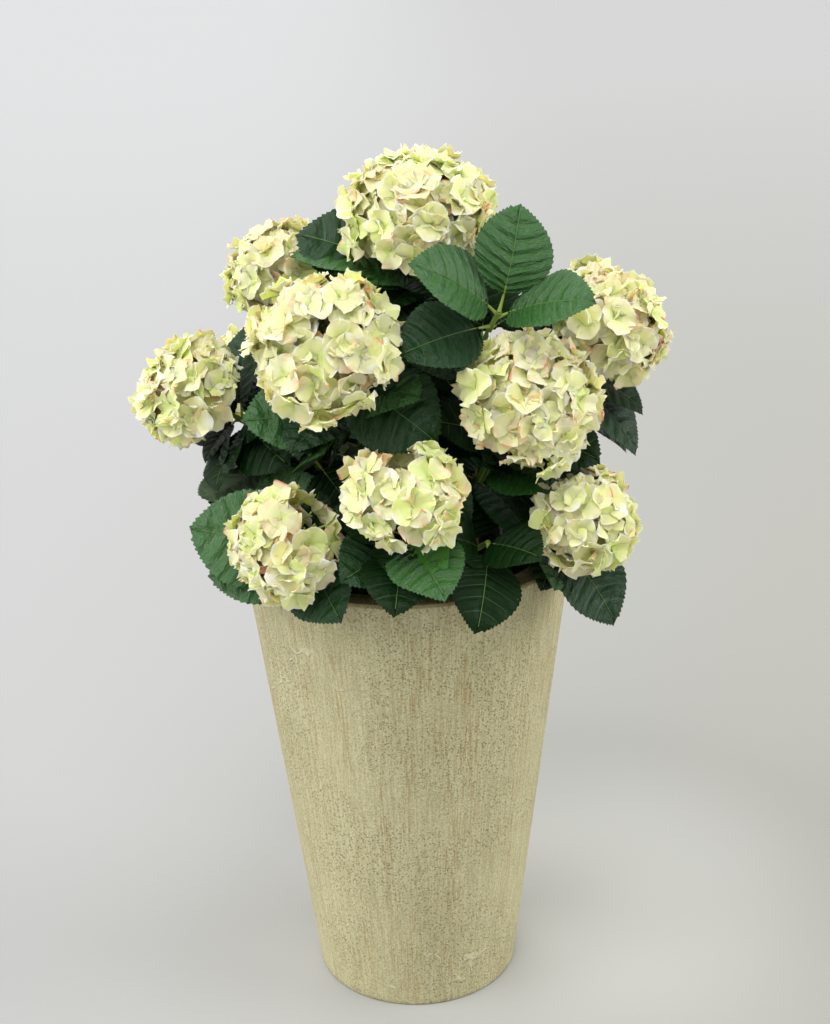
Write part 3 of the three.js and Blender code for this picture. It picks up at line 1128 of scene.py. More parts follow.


# Low and hidden leaves that are given the deep green take it as painted shade.
SHOOTS = (
    Shoot("crest", (5, 5), (22, -20, 938), 86, 10, -90, 3, (
        (0.94, -178, 17, 143), (0.86, -157, 25, 110), (0.95, -28, 29, 100), (0.1, -33, -28, 115),
        (0.35, -102, 28, 100),
    ), partings=((-128, 9, 8), (-146, -34, 15), (-18, -25, 15)), strays=(
        (-160, -16, 0.95), (-114, -16, 0.93), (-96, -22, 0.95),
    ), twig_leaves=(
        (0.02, -42, -16, 118, 39, DEEP), (1, -156, 13, 92, -25, MIDDLE), (0.98, 178, 22, 142, -33, COOL),
        (0.8, -42, -27, 90, 21, DEEP), (0.95, -122, -21, 72, -26, DEEP), (0.9, -73, -25, 72, 12, DEEP),
        (0.55, -118, -37, 86, -17, DEEP), (0.5, -66, -21, 86, 23, DEEP),
    )),
    Shoot("left_rear", (-45, 30), (-136, 50, 864), 62, 35, 170, 4),
    Shoot("left_front", (-30, -40), (-78, -150, 832), 79, 52, -100, 3, (
        (0.6, -39, -12, 118), (0.75, 147, -4, 110),
    ), partings=((-74, 42, 20),), strays=(
        (-119, -31, 0.97), (-99, -51, 1.0), (-37, -3, 0.95),
    ), twig_leaves=(
        (1, -29, -28, 134, -4, COOL), (0.4, -158, 9, 128, -30, MIDDLE),
    )),
    Shoot("left_side", (-70, 0), (-231, -30, 751), 68, 52, -155, 3, (
        (0.9, -37, 8, 112), (0.94, -59, -11, 105), (0.95, 69, 73, 115), (0.9, -113, -29, 95),
        (0.6, -135, -14, 118, 150),
    ), tones=(DEEP, DEEP, COOL, DEEP, MIDDLE), grown=0.95, twig_leaves=(
        (0.5, -158, 16, 80, -58, MIDDLE), (0.2, -173, -1, 122, 115, DEEP),
        (1, -114, -43, 75, 10, DEEP), (0.6, -65, -52, 50, -45, FRESH),
    )),
    Shoot("right_rear", (65, 20), (226, 20, 803), 76, 42, -30, 3, (
        (0.9, -27, -42, 130), (0.7, -21, -32, 120), (0.95, 121, 73, 125), (0.94, -17, -26, 106),
    )),
    Shoot("right_front", (42, -35), (131, -140, 767), 75, 52, -75, 3, (
        (0.7, -58, -16, 118), (0.9, -32, -10, 110), (0.3, -60, -19, 118), (0.8, -135, 49, 118),
    ), strays=((-66, -50, 0.98), (-150, 20, 1.0))),
    Shoot("low_centre", (0, -65), (-2, -200, 688), 68, 30, -90, 3, (
        (0.94, -68, -14, 108), (0.85, -97, -21, 105), (0.7, -126, 1, 105),
    ), partings=((-100, 72, 30), (90, 52, 30), (-100, -14, 13)), strays=(
        (-50, -23, 0.96),
    ), tones=(MIDDLE, DEEP, COOL), grown=0.88, twig_leaves=(
        (1, -60, -12, 80, 23, FRESH),
    )),
    Shoot("low_left", (-58, -58), (-128, -170, 626), 60, 60, -115, 3, (
        (0.8, 175, 12, 140), (0.65, -176, -8, 128), (0.93, -72, -18, 112), (0.5, 154, 54, 122),
    ), partings=((-20, 48, 34),), strays=(
        (-109, -32, 0.95), (-75, -40, 1.0),
    ), tones=(MIDDLE, MIDDLE, COOL, MIDDLE)),
    Shoot("low_right", (75, -48), (188, -140, 633), 60, 58, -55, 3, (
        (0.95, -36, -46, 121), (0.7, -78, -6, 105), (0.4, -62, -6, 112), (0.94, 83, 0, 100),
    )),
    Shoot("fan", (22, -22), (101, -120, 856), 0, 40, -60, 2, (
        (1, 54, 68, 112), (0.97, -153, 35, 118), (0.93, -32, 16, 118), (0.85, -149, -6, 112),
        (0.8, 44, 0, 80),
    ), tones=(MIDDLE, MIDDLE, MIDDLE, COOL, DEEP)),
    Shoot("rim_front", (34, -78), (86, -150, 612), 0, 60, -70, 0, (
        (1, -101, -39, 105), (0.9, -53, 9, 90), (0.7, -116, 27, 90), (0.5, 77, 45, 100),
    ), tones=(DEEP, DEEP, DEEP, DEEP)),
    Shoot("left_inner", (-28, -68), (-102, -75, 690), 0, 40, -110, 2, (
        (1, -30, -48, 118), (0.8, -84, 32, 90), (0.9, 144, -41, 105),
    ), twig_leaves=(
        (0.8, -49, -41, 108, -6, DEEP),
    )),
    Shoot("heart_left", (-5, -30), (-50, -20, 690), 0, 25, -150, 5),
    Shoot("heart_right", (40, 5), (95, -40, 660), 0, 30, -40, 5, twig_leaves=(
        (1, -54, 6, 140, 27, MIDDLE),
    )),
    Shoot("heart_back", (4, 88), (30, 120, 640), 0, 35, 60, 4),
    Shoot("back_high", (12, 38), (20, 145, 838), 74, 40, 85, 5),
    Shoot("back_left", (-66, 42), (-165, 165, 715), 70, 52, 135, 4),
    Shoot("back_right", (78, 48), (180, 160, 700), 72, 52, 42, 4),
    Shoot("back_middle", (-22, 66), (-25, 215, 690), 66, 55, 95, 4),
    Shoot("back_low", (34, 76), (95, 190, 600), 58, 62, 62, 3),
    Shoot("back_leafy", (-58, 74), (-110, 150, 620), 0, 55, 125, 4),
)


# ---------------------------------------------------------------- canes and green stems

@dataclass
class Canes:
    """The woody stems: rough bark with swollen leaf scars, tapering up from a flared foot."""

    foot_radius: float = 5.5
    tip_radius: float = 3.6
    flare: float = 3.5
    flare_share: float = 0.08
    sides: int = 14
    rings: int = 36
    ridge: float = 0.16
    ridge_width: float = 4.5
    ridge_shift: float = 9
    scar_spacing: float = 42
    scar_swell: float = 0.9
    scar_sharpness: int = 16
    finish: RoughFinish = RoughFinish("cane_bark", "8a7a60", "4a3d2c", 3.5, stretch=0.3, depth=0.5)

    def radii(self, stem: Stem) -> Radii:
        """Makes the rule for a cane's radius, with the bark's ridges and scars.

        Args:
            stem: The stem whose lower part is the cane.

        Returns:
            The rule.
        """
        length = stem.start * stem.curve.span
        shift = Vector((0, 0, self.ridge_shift * stem.number))

        def rule(shares: Vec, angles: Vec) -> Vec:
            """Works out the cane's radii.

            Args:
                shares: The shares along the cane.
                angles: The angles round it.

            Returns:
                The radii.
            """
            radius = self.foot_radius + (self.tip_radius - self.foot_radius) * shares
            radius = radius + self.flare * np.clip(1 - shares / self.flare_share, 0, 1) ** 2
            scars = np.cos(math.tau * shares * length / self.scar_spacing) ** self.scar_sharpness
            heights = shares * length / self.ridge_width / 2
            places = np.stack([2 * np.cos(angles), 2 * np.sin(angles), heights], -1)
            ridges = np.array([noise.noise(Vector(place) + shift) for place in places])
            return radius * (1 + self.ridge * ridges) + self.scar_swell * scars * (shares > self.flare_share)

        return rule

    def build(self, stems: Sequence[Stem]) -> bpy.types.Object:
        """Makes all canes.

        Args:
            stems: The stems of the plant.

        Returns:
            Their one piece.
        """
        bar = bar_pattern(self.sides, self.rings)
        heap = Heap()
        for stem in stems:
            heap.add(bar, along_curve(bar, stem.curve, 0, stem.start, self.radii(stem)), bar.regions)
        nodes = [f"cane_{stem.shoot.name}" for stem in stems]
        return fitted(heap.piece("canes", [self.finish.material()]), nodes)


@dataclass
class GreenStems:
    """The green shoots on top of the canes, up into the flower heads."""

    foot_radius: float = 3.6
    tip_radius: float = 2.6
    stalk_radius: float = 2.4
    sides: int = 10
    rings: int = 16
    node_swell: float = 0.7
    joints: int = 3
    finish: SilkFinish = SilkFinish("green_stem", "6f8a3e", (0.45, 0.6), 2.5, 0.2)

    def build(self, stems: Sequence[Stem]) -> bpy.types.Object:
        """Makes all green stems, and the stalks inside the flower heads.

        Args:
            stems: The stems of the plant.

        Returns:
            Their one piece.
        """
        bar = bar_pattern(self.sides, self.rings)
        heap = Heap()
        for stem in stems:
            heap.add(bar, along_curve(bar, stem.curve, stem.start, 1, self.radii), bar.regions)
            if stem.shoot.radius:
                head, start = np.array(stem.shoot.head), stem.curve.tip
                line = head - start
                stalk = Bezier(start, start + line / 3, start + line * 2 / 3, head)
                heap.add(bar, along_curve(bar, stalk, 0, Bloom.fan_share, self.stalk_radii), bar.regions)
        nodes = [f"leaves_{stem.shoot.name}" for stem in stems]
        return fitted(heap.piece("green_stems", [self.finish.material()]), nodes)

    def radii(self, shares: Vec, angles: Vec) -> Vec:
        """The radii of a green shoot, with a swelling where leaves leave it."""
        swell = self.node_swell * np.cos(math.tau * shares * self.joints) ** 8
        return self.foot_radius + (self.tip_radius - self.foot_radius) * shares + swell

    def stalk_radii(self, shares: Vec, angles: Vec) -> Vec:
        """The radii of a flower stalk."""
        return self.stalk_radius + (self.tip_radius - self.stalk_radius) * (1 - shares)


# ---------------------------------------------------------------- leaves

class LeafRegion(IntEnum):
    """What a face of a leaf shows."""

    BLADE = 0
    VEIN = 1
    UNDERSIDE = 2


@dataclass
class LeafShape:
    """A toothed oval blade in shares of the leaf's length, quilted between its side veins.

    A tooth is its place along a stretch of the margin and its height, as a share of the tooth's size.
    Droop and wave each give the least, and the most that chance adds to it.
    """

    half_width: float = 0.375
    stalk: float = 0.17
    fold: float = 0.16
    arch: float = 0.07
    thickness: float = 0.005
    veins: int = 7
    first_vein: float = 0.1
    last_vein: float = 0.84
    last_row: float = 0.96
    fullness: float = 0.56
    pointing: float = 0.24
    sweep: float = 0.75
    vein_width: float = 0.011
    quilt: float = 0.026
    tooth: float = 0.018
    one_tooth: tuple[tuple[float, float], ...] = ((0.72, 0.8),)
    two_teeth: tuple[tuple[float, float], ...] = ((0.36, 0.8), (0.5, 0), (0.86, 1.0))
    droop: tuple[float, float] = (0.02, 0.03)
    wave: tuple[float, float] = (0.012, 0.01)
    bend: float = 0.05
    twist: float = 0.14
    rib_gap: float = 0.16
    rib_end: float = 0.95
    rib_neck: float = 0.32
    rib_foot: float = 0.02
    rib_narrowing: float = 0.0145
    rib_taper: float = 0.003
    rib_sides: int = 6
    rib_rings: int = 12
    columns: tuple[float, ...] = (-1, -0.8, -0.58, -0.36, -0.16, 0, 0.16, 0.36, 0.58, 0.8, 1)

    def rows(self) -> list[tuple[float, float]]:
        """Lists the rows of the blade, from its base to its tip.

        Returns:
            Each row's place on the margin, and -1 or 1 where it runs beside a vein, or 0.
        """
        gap = (self.last_vein - self.first_vein) / (self.veins - 1)
        rows = [(0.0, 0.0), (self.first_vein / 2, 0.0)]
        for vein in range(self.veins):
            at = self.first_vein + gap * vein
            rows += [(at, -1.0), (at, 1.0), (at + gap / 2, 0.0)]
        return [*rows, (self.last_row, 0.0), (1.0, 0.0)]

    def outline(self, along: float) -> float:
        """The blade's half width at a place along it, as a share of the widest."""
        along = min(along, 1)
        return max(math.sin(math.pi * along**0.9), 0) ** (self.fullness + self.pointing * along)

    def point(self, column: float, row: tuple[float, float]) -> tuple[float, float, float]:
        """Works out a point of the flat blade, with its quilting.

        Args:
            column: The point's column, from -1 at one margin to 1 at the other.
            row: The point's row.

        Returns:
            The point as across, along and up.
        """
        at, side = row
        reach = abs(column)
        along = at ** (1 + self.sweep * (1 - reach)) + side * self.vein_width / 2 * (1 - reach) ** 0.6
        x = column * self.half_width * self.outline(along)
        y = self.stalk + (1 - self.stalk) * along
        puff = self.quilt * (1 - reach**3) * min(reach / self.rib_gap, 1) if side == 0 and 0 < at < 1 else 0
        return x, y, puff

    def pattern(self, draw: Draw) -> Pattern:
        """Makes a blade, waved and curled by chance.

        Args:
            draw: Gives the chances.

        Returns:
            The pattern.
        """
        rows = self.rows()
        wide, high = len(self.columns) - 1, len(rows) - 1
        bm = bmesh.new()
        layer = bm.verts.layers.float_vector.new(CHART)
        bmesh.ops.create_grid(bm, x_segments=wide, y_segments=high, size=1)
        for face in bm.faces:
            lowest = round((min(vert.co.y for vert in face.verts) + 1) / 2 * high)
            face.material_index = LeafRegion.VEIN if rows[lowest][1] == -1 else LeafRegion.BLADE
        for vert in bm.verts:
            column = self.columns[round((vert.co.x + 1) / 2 * wide)]
            row = rows[round((vert.co.y + 1) / 2 * high)]
            vert.co = self.point(column, row)
            vert[layer] = (column, row[0], 0)
        bmesh.ops.remove_doubles(bm, verts=bm.verts, dist=1e-4)
        for edge in [edge for edge in bm.edges if edge.is_boundary]:
            self.saw(edge)
        self.curl(bm, draw)
        tops = set(bm.verts)
        bmesh.ops.recalc_face_normals(bm, faces=bm.faces)
        if sum(face.normal.z for face in bm.faces) < 0:
            bmesh.ops.reverse_faces(bm, faces=bm.faces)
        bmesh.ops.solidify(bm, geom=bm.faces[:], thickness=self.thickness)
        for face in bm.faces:
            if not tops.intersection(face.verts):
                face.material_index = LeafRegion.UNDERSIDE
        return Pattern.of(bm)

    def saw(self, edge: bmesh.types.BMEdge) -> None:
        """Cuts one or two teeth that point to the tip into an edge of the margin.

        Args:
            edge: The edge.
        """
        low, high = sorted(edge.verts, key=lambda vert: vert.co.y)
        start, line = low.co.copy(), high.co - low.co
        outward = Vector((abs(line.y), -line.x * math.copysign(1, start.x + line.x), 0)).normalized()
        outward.x = math.copysign(outward.x, start.x + line.x / 2)
        behind, passed = low, 0.0
        for share, height in self.one_tooth if line.length < 4 * self.tooth else self.two_teeth:
            edge, new = bmesh.utils.edge_split(edge, behind, (share - passed) / (1 - passed))
            new.co = start + line * share + outward * self.tooth * height
            edge = next(e for e in new.link_edges if high in e.verts)
            behind, passed = new, share

    def curl(self, bm: bmesh.types.BMesh, draw: Draw) -> None:
        """Folds the blade up along its rib, arches it over, and waves its margin.

        Args:
            bm: The blade.
            draw: Gives the chances.
        """
        phase = math.tau * draw()
        droop = self.droop[0] + self.droop[1] * draw()
        bend = self.bend * (draw() - 0.5)
        wave = self.wave[0] + self.wave[1] * draw()
        twist = self.twist * (draw() - 0.5)
        for vert in bm.verts:
            x, y, z = vert.co
            reach = abs(x) / self.half_width
            z += 4 * self.arch * y * (1 - y) + self.fold * abs(x) * (1 - 0.35 * reach)
            z += wave * math.sin(phase + 11 * y + (2 if x > 0 else 0)) * reach**2 - droop * y**5
            z += twist * x * (y - 0.4)
            vert.co = (x + bend * (y - self.stalk) * (1 - y), y, z)

    def rib(self) -> Pattern:
        """Makes the stalk that runs on as the midrib, to near the tip.

        Returns:
            The pattern, with region 0 for the stalk and 1 for the midrib.
        """
        bar = bar_pattern(self.rib_sides, self.rib_rings)
        shares = bar.points[:, 2]
        y = self.rib_end * shares
        narrowing = self.rib_narrowing * np.clip(y / self.rib_neck, 0, 1) ** 0.8
        radius = self.rib_foot - narrowing - self.rib_taper * shares
        lift = 4 * self.arch * y * (1 - y) - 0.1 * radius
        points = np.stack([bar.points[:, 0] * radius, y, -bar.points[:, 1] * radius + lift], -1)
        faces = np.repeat(np.arange(len(bar.counts)), bar.counts)
        middles = np.bincount(faces, shares[bar.corners]) / bar.counts
        return replace(bar, points=points, regions=(middles > self.stalk + 0.05).astype(int))


@dataclass
class Foliage:
    """All leaves of the plant: blades with their veins, and stalks that run on as midribs."""

    shape: LeafShape = field(default_factory=LeafShape)
    variants: int = 8
    tones: tuple[LeafFinish, ...] = (
        # The deep green is darkened as painted shade; chance deals it, and it is set on low and shaded
        # leaves.
        LeafFinish("leaf_deep_shaded", "0e2909", sheen=0.14),
        LeafFinish("leaf_cool", "153a16", (0.26, 0.46), 0.34, 4.2),
        LeafFinish("leaf_middle", "316127", (0.22, 0.44), 0.55, 4.6),
        LeafFinish("leaf_fresh", "3f7528", sheen=0.3),
    )
    vein: LeafFinish = LeafFinish("leaf_vein", "496d34", wrinkle=0.3)
    dull_vein: LeafFinish = LeafFinish("leaf_dull_vein", "29482a", wrinkle=0.3)
    underside: LeafFinish = LeafFinish("leaf_underside", "55684a", (0.7, 0.85), 0.3)
    stalk: SilkFinish = SilkFinish("leaf_stalk", "9aaf52", (0.45, 0.6), 2, 0.15)
    midrib: SilkFinish = SilkFinish("leaf_midrib", "668646", (0.45, 0.6), 2, 0.15)
    shares: tuple[float, ...] = (0.38, 0.3, 0.28, 0.04)

    def build(self, stems: Sequence[Stem], rule: Growth) -> list[bpy.types.Object]:
        """Makes the blades in two pieces, front and back, and the stalks in one.

        Args:
            stems: The stems of the plant.
            rule: The growth rule.

        Returns:
            The three pieces.
        """
        seeds = [rule.seed_of(Stage.DRESS, 0, index) for index in range(self.variants)]
        blades = [self.shape.pattern(even_draws(seed)) for seed in seeds]
        rib = self.shape.rib()
        halves = {"front": Heap(), "back": Heap()}
        stalks = Heap()
        nodes: dict[str, list[str]] = {"front": [], "back": []}
        for stem in stems:
            half = "front" if stem.shoot.head[1] <= 0 else "back"
            nodes[half].append(f"leaves_{stem.shoot.name}")
            draw = even_draws(rule.seed_of(Stage.DRESS, stem.number, 1))
            for place, own in (*stem.leaves(), *stem.twig_leaves()):
                blade = blades[int(draw() * self.variants)]
                chance = int(np.searchsorted(np.cumsum(self.shares), draw() * 0.999))
                tone = chance if own is None else own
                vein = len(self.tones) + (tone < MIDDLE)
                finishes = np.array([tone, vein, len(self.tones) + 2])[blade.regions]
                halves[half].add(blade, place.lay(blade.points), finishes)
                stalks.add(rib, place.lay(rib.points), rib.regions)
        greens = [finish.material() for finish in (*self.tones, self.vein, self.dull_vein, self.underside)]
        pieces = [
            fitted(heap.piece(f"leaf_blades_{half}", greens, 60), nodes[half])
            for half, heap in halves.items()
        ]
        stalk_piece = stalks.piece("leaf_stalks", [self.stalk.material(), self.midrib.material()])
        return [*pieces, fitted(stalk_piece, nodes["front"] + nodes["back"])]


# ---------------------------------------------------------------- flower heads

class PetalRegion(IntEnum):
    """Where on a petal a face lies: the tip is a patch of its outer part, on one side."""

    THROAT = 0
    MIDDLE = 1
    OUTER = 2
    MARGIN = 3
    TIP = 4
    TIP_MARGIN = 5
    EYE = 6


class Dye(IntEnum):
    """The materials of a floret, in the order of its piece."""

    LIME = 0
    PALE = 1
    CREAM = 2
    IVORY = 3
    BLUSH = 4
    APRICOT = 5
    CORAL = 6
    BUTTON = 7


class Tint(Enum):
    """How a petal is dyed, from its throat to its margin and its tip. Its margin is mostly paler than its
    outer part: partly the petal's own paler edge, partly a painted highlight along the rim.
    """

    # The margin column is partly the petals' paler edge and partly a painted highlight along their rims.
    LIME = (Dye.LIME, Dye.LIME, Dye.LIME, Dye.PALE, Dye.PALE, Dye.IVORY, Dye.BUTTON)
    PALE = (Dye.LIME, Dye.PALE, Dye.PALE, Dye.IVORY, Dye.PALE, Dye.IVORY, Dye.BUTTON)
    CREAM = (Dye.LIME, Dye.PALE, Dye.CREAM, Dye.IVORY, Dye.CREAM, Dye.BLUSH, Dye.BUTTON)
    IVORY = (Dye.PALE, Dye.CREAM, Dye.CREAM, Dye.IVORY, Dye.IVORY, Dye.IVORY, Dye.BUTTON)
    BLUSH = (Dye.LIME, Dye.CREAM, Dye.CREAM, Dye.IVORY, Dye.BLUSH, Dye.APRICOT, Dye.BUTTON)
    PEACH = (Dye.PALE, Dye.CREAM, Dye.BLUSH, Dye.CREAM, Dye.BLUSH, Dye.APRICOT, Dye.BUTTON)
    CORAL = (Dye.LIME, Dye.PALE, Dye.CREAM, Dye.BLUSH, Dye.BLUSH, Dye.CORAL, Dye.BUTTON)


@dataclass
class Floret:
    """Four broad ruffled petals that form a bowl round a small button.

    A petal leaves the middle at its steepest, and flares out from there. Size, cup, waves and point
    each give the least, and the most that chance adds to it. The other pairs are limits.
    """

    length: float = 22.5
    half_width: float = 15.6
    thickness: float = 0.35
    columns: tuple[float, ...] = (-1, -0.82, -0.58, -0.3, 0, 0.3, 0.58, 0.82, 1)
    rows: tuple[float, ...] = (0, 0.3, 0.62, 0.9, 1)
    button: float = 1.8
    fray: float = 0.9
    steepest: tuple[float, float] = (14, 48)
    flare: tuple[float, float] = (22, 66)
    ripple: tuple[float, float] = (1.4, 3.4)
    frill: tuple[float, float] = (0.5, 1.3)
    size: tuple[float, float] = (0.9, 0.2)
    cup: tuple[float, float] = (0.1, 0.3)
    waves: tuple[float, float] = (3.5, 4)
    point: tuple[float, float] = (-1, 2.8)
    point_width: float = 0.3
    rounding: float = 0.32
    spin: float = 14
    tip_columns: int = 3
    lifts: tuple[float, ...] = (0, 0.7, 0, 0.7)

    def petal(self, bm: bmesh.types.BMesh, index: int, draw: Draw) -> None:
        """Adds a petal to a floret.

        Args:
            bm: The floret's mesh, with the petals that it has so far.
            index: The petal's number.
            draw: Gives the chances of its shape.
        """
        wide, high = len(self.columns) - 1, len(self.rows) - 1
        spin = math.radians(90 * index + self.spin * (draw() - 0.5))
        petal = bmesh.new()
        bmesh.ops.create_grid(petal, x_segments=wide, y_segments=high, size=1)
        tip = int(3 * draw()) * (wide - self.tip_columns) // 2
        for face in petal.faces:
            middle = face.calc_center_median()
            region = self.region((middle.x + 1) / 2 * wide, (middle.y + 1) / 2 * high, tip)
            face.material_index = index * len(PetalRegion) + region
        size, cup = (least + more * draw() for least, more in (self.size, self.cup))
        rise, flare = (math.radians(between(limits, draw())) for limits in (self.steepest, self.flare))
        ripple, waves = between(self.ripple, draw()), self.waves[0] + self.waves[1] * draw()
        frill = between(self.frill, draw())
        phase, swing = math.tau * draw(), math.tau * draw()
        point, corner = self.point[0] + self.point[1] * draw(), 1.4 * draw() - 0.7
        for vert in petal.verts:
            u = self.columns[round((vert.co.x + 1) / 2 * wide)]
            v = self.rows[round((vert.co.y + 1) / 2 * high)]
            half = self.half_width * size * (0.12 + 1.9 * v - 1.22 * v * v)
            peak = point / self.length * math.exp(-(((u - corner) / self.point_width) ** 2))
            run = v * (1 - self.rounding * u * u * v) + peak * v**8
            y = self.length * size * (math.sin(rise) - math.sin(rise - flare * run)) / flare
            z = self.length * size * (math.cos(rise - flare * run) - math.cos(rise)) / flare
            z += cup * half * u * u + ripple * v * v * math.sin(swing + waves * u)
            z += 0.7 * ripple * u * u * v * math.sin(phase + 7 * v)
            z += frill * max(v, abs(u)) ** 6 * math.cos(phase + 10 * u + 9 * v)
            if vert.is_boundary and v > 0.5:
                y += self.fray * (draw() - 0.5)
                z += self.fray * (draw() - 0.5)
            vert.co = (u * half, y + 1, z)
        bmesh.ops.recalc_face_normals(petal, faces=petal.faces)
        if sum(face.normal.z for face in petal.faces) < 0:
            bmesh.ops.reverse_faces(petal, faces=petal.faces)
        bmesh.ops.solidify(petal, geom=petal.faces[:], thickness=self.thickness)
        bmesh.ops.rotate(petal, verts=petal.verts, matrix=Matrix.Rotation(spin, 3, "Z"))
        bmesh.ops.translate(petal, verts=petal.verts, vec=(0, 0, self.lifts[index]))
        scrap = bpy.data.meshes.new("petal")
        petal.to_mesh(scrap)
        petal.free()
        bm.from_mesh(scrap)
        bpy.data.meshes.remove(scrap)

    def region(self, column: float, row: float, tip: int) -> PetalRegion:
        """Tells the region of a face.

        Args:
            column: The column at its middle.
            row: The row at its middle.
            tip: The first column of the tip.

        Returns:
            The region.
        """
        last = row > len(self.rows) - 2
        if row > len(self.rows) - 3 and tip < column < tip + self.tip_columns:
            return PetalRegion.TIP_MARGIN if last else PetalRegion.TIP
        if last:
            return PetalRegion.MARGIN
        return (PetalRegion.THROAT, PetalRegion.MIDDLE, PetalRegion.OUTER)[int(row)]

    def pattern(self, draw: Draw) -> Pattern:
        """Makes a floret, its petals shaped by chance.

        Args:
            draw: Gives the chances.

        Returns:
            The pattern, with a region for each part of each petal.
        """
        bm = bmesh.new()
        for index in range(len(self.lifts)):
            self.petal(bm, index, draw)
        before = set(bm.faces)
        made = bmesh.ops.create_icosphere(bm, subdivisions=1, radius=self.button)
        bmesh.ops.translate(bm, verts=made["verts"], vec=(0, 0, self.button / 2))
        for face in set(bm.faces) - before:
            face.material_index = PetalRegion.EYE
        return Pattern.of(bm)


@dataclass(frozen=True)
class Layer:
    """The florets at one depth of a head: how far apart they stand, how deep, and how clear of partings."""

    patterns: Sequence[Pattern]
    spacing: float
    sink: tuple[float, float]
    clear: float


@dataclass(frozen=True)
class Head:
    """A flower head that is being dressed.

    It has its axis, the fan where the stalks of its florets part, its chances, and the heaps that
    its petals and stalks go into.
    """

    axis: Vec
    fan: Vec
    draw: Draw
    petals: Heap
    stalks: Heap


